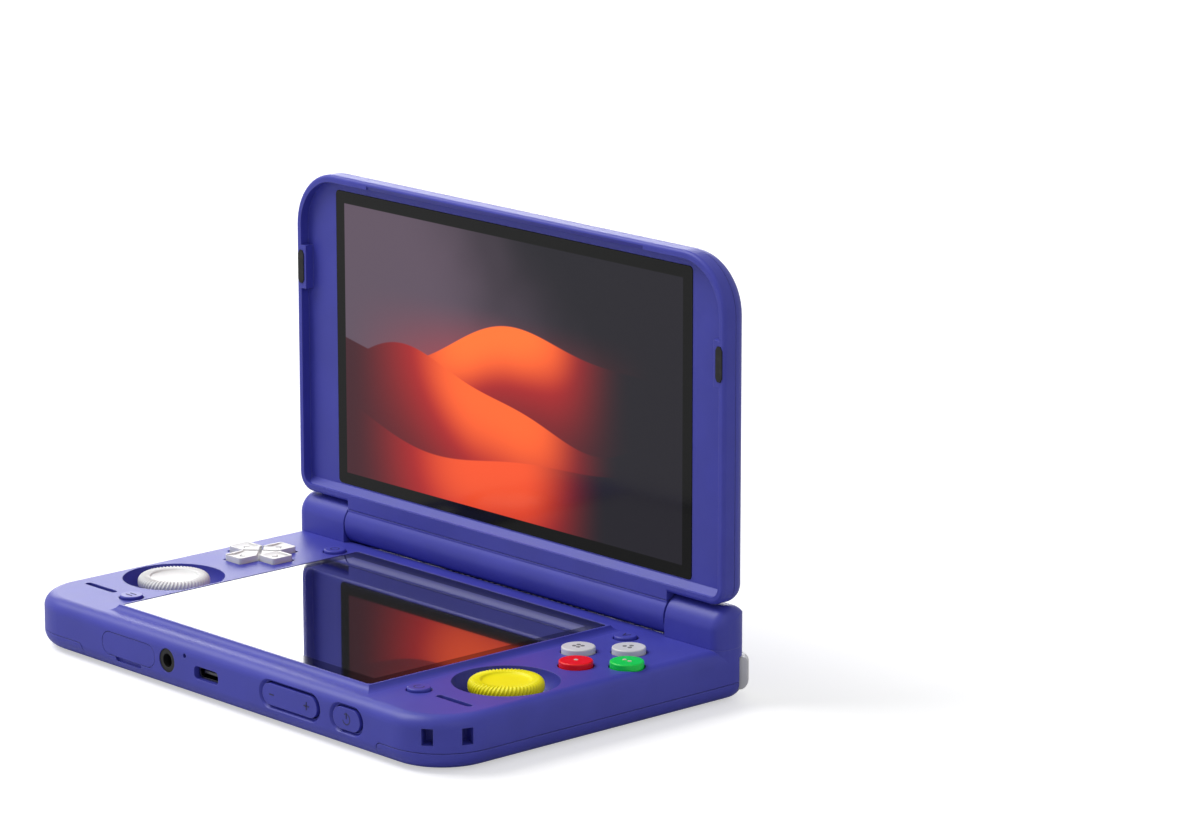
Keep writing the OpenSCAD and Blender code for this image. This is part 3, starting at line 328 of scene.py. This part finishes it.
def moulded_plastic(name, colour, roughness=0.4, edge_radius=0.22):
    """Satin moulding: fine spark texture, faint mottling, and a painted highlight that lightens the base
    colour on the rounded edges.
    """
    settings = bpy.context.scene.handheld_plastic
    finish = Finish(name)
    grain = finish.noise(settings.grain, detail=3.0, rough=0.6)
    cloud = finish.noise(14.0, detail=2.0)
    smear = finish.noise(5.0, detail=4.0, place=finish.stretched((1.0, 0.35, 1.0)))
    round_normal = finish.rounded(edge_radius)
    # Painted highlight: the rounded edges are painted lighter, broken up by the streaky noise
    painted_highlight = finish.edges(round_normal) * (0.4 + 0.6 * smear) * settings.edge_highlight
    deep = tuple(level * 0.93 for level in colour)
    pale = tuple(0.75 * level + 0.25 for level in colour)
    tint = finish.mix(cloud.step(0.35, 0.65), deep, colour)
    tint = finish.mix(painted_highlight, tint, pale)
    return finish.surface(
        Base_Color=tint,
        Roughness=roughness + 0.06 * (cloud - 0.5) + 0.05 * (grain - 0.5) + 0.03 * smear,
        IOR=1.4,
        Normal=finish.bump(grain, 0.012, round_normal, 0.5),
    )


def print_and_shade(name, colour):
    """Matt mark with a slightly broken surface: printed on the light marks, painted shade of an engraving
    on the darker marks.
    """
    finish = Finish(name)
    speck = finish.noise(0.12, detail=2.0)
    faded = tuple(0.8 * level + 0.02 for level in colour)
    return finish.surface(
        Base_Color=finish.mix(speck.step(0.4, 0.7), colour, faded),
        Roughness=0.5 + 0.15 * speck,
        Normal=finish.bump(speck, 0.004, strength=0.4),
    )


def soft_rubber(name):
    """Matt rubber with a dusty grain."""
    finish = Finish(name)
    grain = finish.noise(0.2, detail=4.0)
    dust = finish.noise(3.0, detail=3.0).step(0.45, 0.75)
    return finish.surface(
        Base_Color=finish.mix(dust * 0.5, srgb(24, 24, 26), srgb(52, 51, 52)),
        Roughness=0.72 + 0.15 * grain,
        Normal=finish.bump(grain, 0.02, finish.rounded(0.15), 0.5),
    )


def metal(name, colour, along=(1.0, 1.0, 12.0), roughness=0.3):
    """Drawn or plated metal with fine lines along one axis."""
    finish = Finish(name)
    lines = finish.noise(1.2, detail=5.0, place=finish.stretched(along))
    stain = finish.noise(2.5, detail=2.0)
    dull = tuple(0.7 * level for level in colour)
    return finish.surface(
        Base_Color=finish.mix(stain.step(0.3, 0.8) * 0.4, colour, dull),
        Metallic=1.0,
        Roughness=roughness + 0.18 * (lines - 0.5) + 0.1 * (stain - 0.5),
        Normal=finish.bump(lines, 0.006, finish.rounded(0.08), 0.5),
    )


def circuit_board(name):
    """Lacquered board with copper tracks under the lacquer and bare pads."""
    finish = Finish(name)
    x, y, _ = finish.axes()
    wander = finish.noise(6.0, detail=0.0) * 5.0
    tracks = ((x + wander) * 4.2).sine().step(0.55, 0.8) * ((y - wander) * 0.7).sine().step(-0.4, 0.1)
    pads = finish.noise(0.9, detail=0.0).step(0.68, 0.72)
    green = finish.mix(tracks, srgb(10, 62, 34), srgb(28, 98, 52))
    return finish.surface(
        Base_Color=finish.mix(pads, green, srgb(206, 170, 92)),
        Metallic=pads * 0.8,
        Roughness=0.34 - 0.08 * tracks,
        Normal=finish.bump(tracks + pads * 0.5, 0.03, strength=0.6),
    )


def foil_pouch(name):
    """Crinkled foil of a battery pouch with a dark wrap band."""
    finish = Finish(name)
    x, _, _ = finish.axes()
    crinkle = finish.noise(4.0, detail=5.0, rough=0.6)
    band = x.absolute().step(22.0, 22.6)
    return finish.surface(
        Base_Color=finish.mix(band, srgb(30, 30, 34), srgb(176, 176, 178)),
        Metallic=band * 0.9,
        Roughness=0.36 + 0.2 * crinkle,
        Normal=finish.bump(crinkle, 0.12, strength=0.5),
    )


def gloss_mix(finish, plain, mask):
    """Clear gloss over a shader that grows towards grazing angles, where the mask is 1."""
    facing = finish.add("ShaderNodeLayerWeight", {}, {"Blend": 0.5})["Facing"]
    smudge = finish.noise(9.0, detail=3.0)
    values = {"Color": (1, 1, 1), "Roughness": 0.015 + 0.02 * smudge}
    mirror = finish.add("ShaderNodeBsdfGlossy", {}, values)
    share = facing.step(0.35, 0.8) * 0.46 * mask
    return finish.add("ShaderNodeMixShader", {}, {"Fac": share, 1: plain, 2: mirror["BSDF"]})["Shader"]


def lower_glass_finish(name, active_width, active_depth, centre_y):
    """Dark cover glass over a screen that is switched off."""
    finish = Finish(name)
    x, y, _ = finish.axes()
    beside = x.absolute() - active_width / 2
    edge = beside.math("MAXIMUM", (y - centre_y).absolute() - active_depth / 2)
    inside = 1 - edge.step(-0.05, 0.05)
    line = edge.step(-0.4, -0.3) * inside
    smudge = finish.noise(11.0, detail=4.0)
    dust = finish.noise(0.5, detail=1.0).step(0.74, 0.8)
    shader = finish.add("ShaderNodeBsdfPrincipled", {}, {
        "Base Color": finish.mix(inside, srgb(6, 6, 8), srgb(16, 16, 19)),
        "Roughness": 0.05 + 0.05 * smudge + 0.2 * dust,
        "IOR": 1.52,
    })["BSDF"]
    return finish.show(gloss_mix(finish, shader, (0.1 + 0.9 * inside) * (1 - line)))


def dune(finish, across, up, crest, waves, soft):
    """Mask and depth below the crest of one dune, whose crest line is a sum of waves."""
    line = crest
    for height, pace, shift in waves:
        line = (across * pace + shift).sine() * height + line
    depth = line - up
    return depth.step(0.0, soft), depth


def picture_glass_finish(name, centre_z):
    """Cover glass over a lit picture of dunes at dusk, with a dark border."""
    picture = bpy.context.scene.handheld_picture
    finish = Finish(name)
    x, _, z = finish.axes()
    across = x / (picture.width / 2)
    up = (z - centre_z) / (picture.height / 2)
    lit = (1 - across.absolute()).step(0.0, 0.002) * (1 - up.absolute()).step(0.0, 0.004)
    haze = finish.noise(30.0, detail=2.0)
    fall = (across + 0.35 * up + 0.5 * (haze - 0.5)).step(-0.35, 0.62)
    colour = finish.mix(fall, tuple(picture.sky), tuple(picture.night))
    warm = (across + 0.1).absolute().step(0.95, 0.0) * (up + 0.25).absolute().step(0.75, 0.0)
    colour = finish.mix(warm * 0.55, colour, tuple(picture.ember))
    layers = (
        (0.16, ((0.2, 2.6, 0.9), (0.07, 6.1, 2.0)), 0.75, 0.1),
        (-0.16, ((0.2, 3.3, 3.4), (0.05, 7.3, 0.5)), 0.95, 0.45),
        (-0.5, ((0.16, 2.2, 5.2), (0.05, 5.2, 1.3)), 1.0, 0.85),
    )
    for crest, waves, reach, night in layers:
        mask, depth = dune(finish, across, up, crest, waves, 0.012)
        light = (1 - (across + 0.08).absolute().step(0.1, 0.9)) * (1 - depth.step(0.0, reach) * 0.8)
        body = finish.mix(light, tuple(picture.shade), tuple(picture.ember))
        body = finish.mix(light.step(0.45, 1.0) * (1 - night * 0.7), body, tuple(picture.glow))
        dark = (across + 0.2 * night).step(0.25, 0.75)
        body = finish.mix(dark, body, tuple(picture.night))
        colour = finish.mix(mask, colour, body)
    border = finish.mix(finish.noise(0.8), srgb(4, 5, 5), srgb(8, 8, 9))
    smudge = finish.noise(12.0, detail=4.0)
    return finish.surface(
        Base_Color=finish.mix(lit, border, (0.005, 0.005, 0.006)),
        Roughness=0.08 + 0.05 * smudge,
        IOR=1.3,
        Emission_Color=finish.mix(lit, (0, 0, 0), colour),
        Emission_Strength=picture.strength,
    )


def display_finish(name):
    """Edge and back of a display panel: dark film over thin bright metal."""
    finish = Finish(name)
    sheen = finish.noise(3.0, detail=3.0, place=finish.stretched((1.0, 6.0, 1.0)))
    return finish.surface(
        Base_Color=finish.mix(sheen, srgb(60, 61, 64), srgb(88, 88, 92)),
        Metallic=0.4,
        Roughness=0.3 + 0.2 * sheen,
        Normal=finish.bump(sheen, 0.01, strength=0.3),
    )


def dress(material, nodes):
    """Gives CAD nodes a material, in every slot."""
    for name in nodes:
        mesh = NODES[name].data
        mesh.materials.clear()
        mesh.materials.append(material)


# Modelling by hand
def deselect():
    for item in bpy.context.selected_objects:
        item.select_set(False)


def begin(name):
    """The active object, new and named, goes into edit mode with all of it selected."""
    piece = bpy.context.active_object
    piece.name = name
    piece.data.name = name
    bpy.ops.object.mode_set(mode="EDIT")
    bpy.ops.mesh.select_all(action="SELECT")
    return piece


def close():
    """Merges doubles, turns the faces outwards and leaves edit mode."""
    bpy.ops.mesh.select_all(action="SELECT")
    bpy.ops.mesh.remove_doubles(threshold=0.002 * MM)
    bpy.ops.mesh.normals_make_consistent(inside=False)
    bpy.ops.object.mode_set(mode="OBJECT")


def choose(piece, test):
    """Selects the vertices whose place, in millimetres, passes the test."""
    bpy.ops.mesh.select_mode(type="VERT")
    bpy.ops.mesh.select_all(action="DESELECT")
    bpy.ops.object.mode_set(mode="OBJECT")
    for vertex in piece.data.vertices:
        vertex.select = bool(test(vertex.co / MM))
    bpy.ops.object.mode_set(mode="EDIT")


def lathe(name, profile, steps):
    """Turned piece about the Z axis, drawn as a line of (radius, height) points that is then spun."""
    deselect()
    radius, height = profile[0]
    bpy.ops.mesh.primitive_plane_add(size=MM, location=(radius * MM, 0, height * MM))
    piece = begin(name)
    bpy.ops.mesh.merge(type="CENTER")
    for (r0, z0), (r1, z1) in zip(profile, profile[1:]):
        move = ((r1 - r0) * MM, 0, (z1 - z0) * MM)
        bpy.ops.mesh.extrude_region_move(TRANSFORM_OT_translate={"value": move})
    bpy.ops.mesh.select_all(action="SELECT")
    bpy.ops.mesh.spin(steps=steps, angle=math.tau, center=(0, 0, 0), axis=(0, 0, 1), use_auto_merge=True)
    bpy.ops.object.mode_set(mode="OBJECT")
    bpy.ops.object.transform_apply()
    bpy.ops.object.mode_set(mode="EDIT")
    close()
    return piece


def settle(piece, material, body, smooth=math.radians(40)):
    """Applies the piece's place, smooths it, and gives it its material, body and slot."""
    deselect()
    piece.select_set(True)
    bpy.context.view_layer.objects.active = piece
    bpy.ops.object.transform_apply()
    bpy.ops.object.shade_smooth_by_angle(angle=smooth)
    piece.data.materials.clear()
    piece.data.materials.append(material)
    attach(piece, body)
    return piece


def join(name, pieces):
    """One piece made of several."""
    deselect()
    for piece in pieces:
        piece.select_set(True)
    bpy.context.view_layer.objects.active = pieces[0]
    if len(pieces) > 1:
        bpy.ops.object.join()
    pieces[0].name = name
    pieces[0].data.name = name
    return pieces[0]


def arc_points(centre, radius, start, end, count):
    """Points along an arc, as (radius, height) pairs."""
    turn = [math.radians(start + (end - start) * i / (count - 1)) for i in range(count)]
    return [(centre[0] + radius * math.cos(t), centre[1] + radius * math.sin(t)) for t in turn]


def cap_profile(caps, radius, top):
    """Section of a stick cap from the middle of the dish, over the rim, to the socket of its stem."""
    rim = caps.rim
    seat = radius - rim - caps.rib_height
    foot = top - caps.height
    floor = top - caps.dish
    dish = [(0, floor), (3.0, floor + 0.05), (5.1, floor + 0.2), (6.0, floor + 0.36), (6.25, floor + 0.5)]
    lip = [(6.35, top - 0.1), (6.6, top)]
    over = arc_points((seat, top - rim), rim, 96, 0, 9)
    below = arc_points((seat, foot + rim), rim, 0, -90, 9)
    under = [(5.6, foot + 0.5), (5.6, top - 4.0), (3.6, top - 4.1), (3.6, top - 5.1)]
    socket = [(1.6, top - 5.1), (1.6, top - 3.0), (0, top - 3.0)]
    return dish + lip + over + below + under + socket


def knurl(piece, caps, radius, top):
    """Raises slanted ribs on the rim: every other pair of columns swells, then the cap is twisted."""
    seat = radius - caps.rim - caps.rib_height
    pitch = math.tau / caps.ribs
    for share, columns in ((1.0, (0, 1)), (0.35, (2, 5))):
        def on_rib(place):
            out = math.hypot(place.x, place.y)
            column = round(math.atan2(place.y, place.x) / (pitch / 6)) % 6
            outer = out > seat + 0.15 * caps.rim or place.z > top - 0.04 and out > seat - 0.6
            return outer and place.z > top - caps.height + 0.05 and column in columns
        bpy.ops.object.mode_set(mode="EDIT")
        choose(piece, on_rib)
        bpy.ops.transform.shrink_fatten(value=share * caps.rib_height * MM)
        bpy.ops.object.mode_set(mode="OBJECT")
    twist = piece.modifiers.new("Lean", "SIMPLE_DEFORM")
    twist.deform_method = "TWIST"
    twist.deform_axis = "Z"
    twist.angle = caps.lean
    deselect()
    piece.select_set(True)
    bpy.context.view_layer.objects.active = piece
    bpy.ops.object.modifier_apply(modifier=twist.name)


class HANDHELD_OT_stick_caps(bpy.types.Operator):
    """Model both stick caps with a dished top and slanted ribs round the rim"""

    bl_idname = "handheld.stick_caps"
    bl_label = "Stick caps"

    def execute(self, context):
        caps = context.scene.handheld_caps
        plastic = context.scene.handheld_plastic
        for side, colour, slot in (("left", plastic.white, "white"), ("right", plastic.yellow, "yellow")):
            node = f"stick_cap_{side}"
            centre = middle(node)
            radius = (high(node).x - low(node).x) / 2
            top = high(node).z - caps.lid_room
            cap = lathe(f"knurled_cap_{side}", cap_profile(caps, radius, top), caps.ribs * 6)
            knurl(cap, caps, radius, top)
            cap.location = (centre.x * MM, centre.y * MM, 0)
            material = moulded_plastic(f"cap plastic {side}", tuple(colour), 0.46, 0.08)
            settle(cap, material, f"stick_{side}", math.radians(50))
            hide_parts(node)
        return {"FINISHED"}


def bar(name, length, width, marks):
    """Straight stroke with round ends, lying flat at the origin and pointing along X."""
    deselect()
    bpy.ops.mesh.primitive_cylinder_add(
        vertices=24, radius=width / 2 * MM, depth=(marks.rise + marks.sunk) * MM,
        location=(0, 0, (marks.rise - marks.sunk) / 2 * MM),
    )
    piece = begin(name)
    choose(piece, lambda place: place.x > 0.001)
    bpy.ops.transform.translate(value=((length - width) / 2 * MM, 0, 0))
    choose(piece, lambda place: place.x < -0.001)
    bpy.ops.transform.translate(value=(-(length - width) / 2 * MM, 0, 0))
    close()
    return piece


def ring_arc(name, radius, width, start, sweep, marks):
    """Curved stroke round the origin, made by spinning its cross-section."""
    deselect()
    bpy.ops.mesh.primitive_plane_add(size=MM, location=(0, 0, 0), rotation=(math.pi / 2, 0, 0))
    piece = begin(name)
    bpy.ops.transform.resize(value=(width, 1, marks.rise + marks.sunk))
    bpy.ops.transform.translate(value=(radius * MM, 0, (marks.rise - marks.sunk) / 2 * MM))
    bpy.ops.mesh.spin(steps=36, angle=sweep, center=(0, 0, 0), axis=(0, 0, 1))
    bpy.ops.object.mode_set(mode="OBJECT")
    bpy.ops.object.transform_apply()
    piece.rotation_euler = (0, 0, start)
    bpy.ops.object.transform_apply()
    bpy.ops.object.mode_set(mode="EDIT")
    close()
    return piece


def laid(piece, x, y, z, turn=0.0, tilt=0.0):
    """Puts a stroke at a place in millimetres, turned in its plane and tilted about X."""
    piece.rotation_euler = (tilt, 0, turn)
    piece.location = (x * MM, y * MM, z * MM)
    deselect()
    piece.select_set(True)
    bpy.context.view_layer.objects.active = piece
    bpy.ops.object.transform_apply()
    return piece


class HANDHELD_OT_action_marks(bpy.types.Operator):
    """Put one to four dots on the action buttons, so that each can be told by touch"""

    bl_idname = "handheld.action_marks"
    bl_label = "Action button marks"

    def execute(self, context):
        marks = context.scene.handheld_marks
        # Painted shade: the dark grey dots stand in for the shade in debossed marks on the grey keys; the
        # light dots on the red and green keys are print
        dark = print_and_shade("dark mark painted shade", srgb(120, 120, 124))
        light = print_and_shade("light mark print", srgb(214, 196, 190))
        spread = 0.92
        low_row = -0.575
        square = 0.75
        layouts = {
            "south": [(0, 0)],
            "east": [(-spread, 0), (spread, 0)],
            "north": [(0, spread), (-spread, low_row), (spread, low_row)],
            "west": [(-square, -square), (square, -square), (-square, square), (square, square)],
        }
        for key, dots in layouts.items():
            node = f"button_{key}"
            centre = middle(node)
            strokes = []
            for dx, dy in dots:
                dot = bar("dot", 2 * marks.dot, 2 * marks.dot, marks)
                strokes.append(laid(dot, centre.x + dx, centre.y + dy, high(node).z))
            piece = join(f"dots_{key}", strokes)
            settle(piece, light if key in ("south", "east") else dark, key)
        return {"FINISHED"}


class HANDHELD_OT_pad_marks(bpy.types.Operator):
    """Put a chevron on each arm of the cross pad"""

    bl_idname = "handheld.pad_marks"
    bl_label = "Cross pad marks"

    def execute(self, context):
        marks = context.scene.handheld_marks
        # Painted shade: the grey chevrons stand in for the shade in arrows engraved into the white pad
        grey = print_and_shade("pad mark painted shade", srgb(172, 172, 176))
        centre = middle("cross_pad")
        tip = 7.1
        length = 1.7
        half = 0.67
        slant = math.radians(38)
        hollow = 0.4
        strokes = []
        for quarter in range(4):
            turn = quarter * math.pi / 2
            for side in (-1, 1):
                stroke = bar("chevron", length, marks.stroke, marks)
                lean = turn + math.pi - side * slant
                out = tip - half * math.cos(slant)
                over = side * half * math.sin(slant)
                x = centre.x + out * math.cos(turn) - over * math.sin(turn)
                y = centre.y + out * math.sin(turn) + over * math.cos(turn)
                strokes.append(laid(stroke, x, y, high("cross_pad").z - hollow, lean))
        settle(join("pad_chevrons", strokes), grey, "pad")
        return {"FINISHED"}


class HANDHELD_OT_menu_marks(bpy.types.Operator):
    """Put a plain sign on each menu button: two level bars, a ring, an open ring and two slanted bars"""

    bl_idname = "handheld.menu_marks"
    bl_label = "Menu button marks"

    def execute(self, context):
        marks = context.scene.handheld_marks
        # Painted shade: the dark indigo signs stand in for the shade in signs engraved into the indigo
        # keys
        dark = print_and_shade("key mark painted shade", srgb(38, 38, 92))
        signs = {
            ("front", "left"): ("fl", [("bar", 0, 0.7, 0, 2.6), ("bar", 0, -0.7, 0, 2.6)]),
            ("rear", "left"): ("rl", [("ring", 1.15, 0, 360)]),
            ("front", "right"): ("fr", [("ring", 1.25, 60, 300)]),
            ("rear", "right"): ("rr", [("bar", 0.45, 0, 60, 2.2), ("bar", -0.45, 0, 120, 2.2)]),
        }
        for (row, side), (body, parts) in signs.items():
            node = f"menu_{row}_{side}"
            centre = middle(node)
            strokes = []
            for kind, *numbers in parts:
                if kind == "bar":
                    dx, dy, turn, length = numbers
                    stroke = bar("bar", length, marks.stroke, marks)
                else:
                    radius, turn, sweep = numbers
                    dx = dy = 0
                    stroke = ring_arc("ring", radius, marks.stroke, 0, math.radians(sweep), marks)
                place = (centre.x + dx, centre.y + dy, high(node).z)
                strokes.append(laid(stroke, *place, math.radians(turn)))
            settle(join(f"sign_{row}_{side}", strokes), dark, f"menu_{body}")
        return {"FINISHED"}


class HANDHELD_OT_side_marks(bpy.types.Operator):
    """Put minus and plus on the volume rocker and the on-off sign on the power button"""

    bl_idname = "handheld.side_marks"
    bl_label = "Side key marks"

    def execute(self, context):
        marks = context.scene.handheld_marks
        # Painted shade: the dark indigo signs stand in for the shade in signs engraved into the rocker and
        # the power button
        dark = print_and_shade("side mark painted shade", srgb(34, 34, 84))
        face = low("volume_rocker").y
        rocker = middle("volume_rocker")
        power = middle("power_button")
        tilt = math.pi / 2
        line = marks.stroke
        minus_x = rocker.x - 7
        plus_x = rocker.x + 6.6
        plus_size = 2.1
        minus = laid(bar("minus", 1.9, line, marks), minus_x, face, rocker.z, tilt=tilt)
        across = laid(bar("plus", plus_size, line, marks), plus_x, face, rocker.z, tilt=tilt)
        upright = laid(bar("plus", plus_size, line, marks), 0, 0, 0, math.pi / 2)
        laid(upright, plus_x, face, rocker.z, tilt=tilt)
        settle(join("volume_signs", [minus, across, upright]), dark, "rocker")
        face = low("power_button").y
        gap = math.radians(70)
        bow = ring_arc("bow", 1.35, line, math.pi / 2 + gap / 2, math.tau - gap, marks)
        laid(bow, power.x, face, power.z, tilt=tilt)
        stem = laid(bar("stem", 1.6, line, marks), 0, 0.9, 0, math.pi / 2)
        laid(stem, power.x, face, power.z, tilt=tilt)
        settle(join("power_sign", [bow, stem]), dark, "power")
        return {"FINISHED"}


class HANDHELD_OT_case_finish(bpy.types.Operator):
    """Give the case, lid and their small mouldings the indigo plastic"""

    bl_idname = "handheld.case_finish"
    bl_label = "Case finish"

    def execute(self, context):
        plastic = context.scene.handheld_plastic
        case = moulded_plastic("indigo moulding", tuple(plastic.case), 0.42)
        dress(case, [
            "base_top_shell", "base_bottom_cover", "hinge_ear_left", "hinge_ear_right",
            "lid_back_shell", "lid_bezel", "hinge_cover",
            "card_door", "volume_rocker", "power_button",
        ])
        keys = moulded_plastic("indigo key", tuple(plastic.case), 0.36, 0.15)
        dress(keys, [f"menu_{row}_{side}" for row in ("front", "rear") for side in SIDES])
        return {"FINISHED"}


class HANDHELD_OT_key_finish(bpy.types.Operator):
    """Give the coloured keys, cross pad and shoulder buttons their plastics"""

    bl_idname = "handheld.key_finish"
    bl_label = "Key finishes"

    def execute(self, context):
        plastic = context.scene.handheld_plastic
        dress(moulded_plastic("white key", tuple(plastic.white), 0.4, 0.35), ["cross_pad"])
        dress(moulded_plastic("red key", tuple(plastic.red), 0.3, 0.15), ["button_south"])
        dress(moulded_plastic("green key", tuple(plastic.green), 0.3, 0.15), ["button_east"])
        grey = moulded_plastic("grey key", tuple(plastic.grey), 0.34, 0.15)
        dress(grey, ["button_north", "button_west"])
        shoulders = [f"shoulder_{place}_{side}" for place in ("outer", "inner") for side in SIDES]
        dress(moulded_plastic("shoulder key", tuple(plastic.grey), 0.4, 0.3), shoulders)
        return {"FINISHED"}


class HANDHELD_OT_screen_finish(bpy.types.Operator):
    """Give both cover glasses and the panels behind them their finish"""

    bl_idname = "handheld.screen_finish"
    bl_label = "Screen finishes"

    def execute(self, context):
        picture = context.scene.handheld_picture
        active = (picture.lower_width, picture.lower_depth)
        lower = lower_glass_finish("lower cover glass", *active, middle("lower_glass").y)
        dress(lower, ["lower_glass"])
        dress(picture_glass_finish("upper cover glass", middle("upper_glass").z), ["upper_glass"])
        dress(display_finish("display film"), ["lower_display", "upper_display"])
        return {"FINISHED"}


class HANDHELD_OT_inner_finish(bpy.types.Operator):
    """Give the feet, screws, ports, boards, battery and mechanism their finish"""

    bl_idname = "handheld.inner_finish"
    bl_label = "Inner finishes"

    def execute(self, context):
        dress(soft_rubber("black rubber"), ["rubber_feet", "lid_bumpers"])
        steel = metal("plated steel", srgb(176, 176, 178))
        dress(steel, [
            "case_screws", "card_slot", "cross_pad_ring",
            *(f"{part}_{side}" for side in SIDES
              for part in ("stick_yoke", "shoulder_pin", "hinge_barrel", "hinge_shaft")),
        ])
        dress(metal("port shell", srgb(104, 104, 107), (1.0, 10.0, 1.0), 0.3), ["usb_port"])
        dress(metal("heat spreader", srgb(214, 150, 112), (8.0, 1.0, 1.0), 0.32), ["heat_sink"])
        black = moulded_plastic("black moulding", srgb(27, 27, 29), 0.5, 0.12)
        dress(black, [
            "blower_case", "blower_wheel", "vent_grille", "headphone_jack",
            *(f"{part}_{side}" for side in SIDES for part in ("speaker", "stick_housing", "stick_stem")),
        ])
        board = circuit_board("green board")
        dress(board, ["mainboard", "side_key_board", "left_key_board", "right_key_board"])
        dress(foil_pouch("battery pouch"), ["battery"])
        return {"FINISHED"}


def softbox(name, place, aim, width, height, power):
    """Rectangular lamp at a place in millimetres, turned to its aim."""
    lamp = bpy.data.lights.new(name, "AREA")
    lamp.shape = "RECTANGLE"
    lamp.size = width * MM
    lamp.size_y = height * MM
    lamp.energy = power
    item = bpy.data.objects.new(name, lamp)
    bpy.context.scene.collection.objects.link(item)
    item.location = Vector(place) * MM
    item.rotation_euler = (Vector(aim) - Vector(place)).to_track_quat("-Z", "Y").to_euler()
    return item


def pale_floor(name, glow):
    """Paper floor: white to the camera, with the shadow that falls on it."""
    finish = Finish(name)
    fibre = finish.noise(2.0, detail=4.0)
    seen = finish.add("ShaderNodeLightPath")["Is Camera Ray"]
    return finish.surface(
        Base_Color=finish.mix(fibre, (0.62, 0.62, 0.62), (0.65, 0.65, 0.65)),
        Emission_Color=finish.mix(seen, (0, 0, 0), (glow, glow, glow)),
        Emission_Strength=1.0,
        Roughness=0.8,
        Specular_IOR_Level=0.1,
    )


class HANDHELD_OT_stage(bpy.types.Operator):
    """Set up the floor, the soft light, the sky and the camera"""

    bl_idname = "handheld.stage"
    bl_label = "Stage"

    def execute(self, context):
        stage = context.scene.handheld_stage
        deselect()
        bpy.ops.mesh.primitive_plane_add(size=2 * stage.floor * MM)
        floor = context.active_object
        floor.name = "studio_floor"
        floor.data.materials.append(pale_floor("floor paper", stage.floor_glow))
        for lamp in LAMPS:
            softbox(*lamp)
        world = bpy.data.worlds.new("studio")
        context.scene.world = world
        world.use_nodes = True
        tree = world.node_tree
        tree.nodes.clear()
        path = tree.nodes.new("ShaderNodeLightPath")
        seen = tree.nodes.new("ShaderNodeMath")
        seen.operation = "ADD"
        direct = tree.nodes.new("ShaderNodeMath")
        direct.operation = "ADD"
        direct.use_clamp = True
        tree.links.new(path.outputs["Is Camera Ray"], seen.inputs[0])
        tree.links.new(path.outputs["Is Glossy Ray"], seen.inputs[1])
        tree.links.new(seen.outputs[0], direct.inputs[0])
        tree.links.new(path.outputs["Is Transmission Ray"], direct.inputs[1])
        strength = tree.nodes.new("ShaderNodeMapRange")
        strength.inputs["To Min"].default_value = stage.sky
        tree.links.new(direct.outputs[0], strength.inputs["Value"])
        background = tree.nodes.new("ShaderNodeBackground")
        tree.links.new(strength.outputs["Result"], background.inputs["Strength"])
        output = tree.nodes.new("ShaderNodeOutputWorld")
        tree.links.new(background.outputs[0], output.inputs["Surface"])
        camera = bpy.data.objects.new("camera", bpy.data.cameras.new("camera"))
        context.scene.collection.objects.link(camera)
        camera.data.sensor_width = 36
        camera.data.lens = stage.lens
        camera.data.clip_end = 20
        camera.location = Vector(stage.camera) * MM
        view = Vector(stage.aim) - Vector(stage.camera)
        camera.rotation_euler = view.to_track_quat("-Z", "Y").to_euler()
        context.scene.camera = camera
        context.scene.view_settings.view_transform = "Standard"
        return {"FINISHED"}


class HANDHELD_PT_panel(bpy.types.Panel):
    """Lists the steps in the order in which they run."""

    bl_idname = "HANDHELD_PT_panel"
    bl_label = "Handheld"
    bl_space_type = "VIEW_3D"
    bl_region_type = "UI"
    bl_category = "Handheld"

    def draw(self, context):
        for step in STEPS:
            self.layout.operator(step.bl_idname)


STEPS = (
    HANDHELD_OT_stage,
    HANDHELD_OT_case_finish,
    HANDHELD_OT_key_finish,
    HANDHELD_OT_screen_finish,
    HANDHELD_OT_inner_finish,
    HANDHELD_OT_stick_caps,
    HANDHELD_OT_action_marks,
    HANDHELD_OT_pad_marks,
    HANDHELD_OT_menu_marks,
    HANDHELD_OT_side_marks,
)
SETTINGS = {
    "handheld_plastic": PlasticSettings,
    "handheld_caps": CapSettings,
    "handheld_marks": MarkSettings,
    "handheld_picture": PictureSettings,
    "handheld_stage": StageSettings,
}


def register():
    for group in (*SETTINGS.values(), *STEPS, HANDHELD_PT_panel):
        bpy.utils.register_class(group)
    for name, group in SETTINGS.items():
        setattr(bpy.types.Scene, name, PointerProperty(type=group))


def unregister():
    for name in SETTINGS:
        delattr(bpy.types.Scene, name)
    for group in (HANDHELD_PT_panel, *reversed(STEPS), *SETTINGS.values()):
        bpy.utils.unregister_class(group)


def main():
    register()
    for step in STEPS:
        area, name = step.bl_idname.split(".")
        getattr(getattr(bpy.ops, area), name)()


if __name__ == "__main__":
    main()
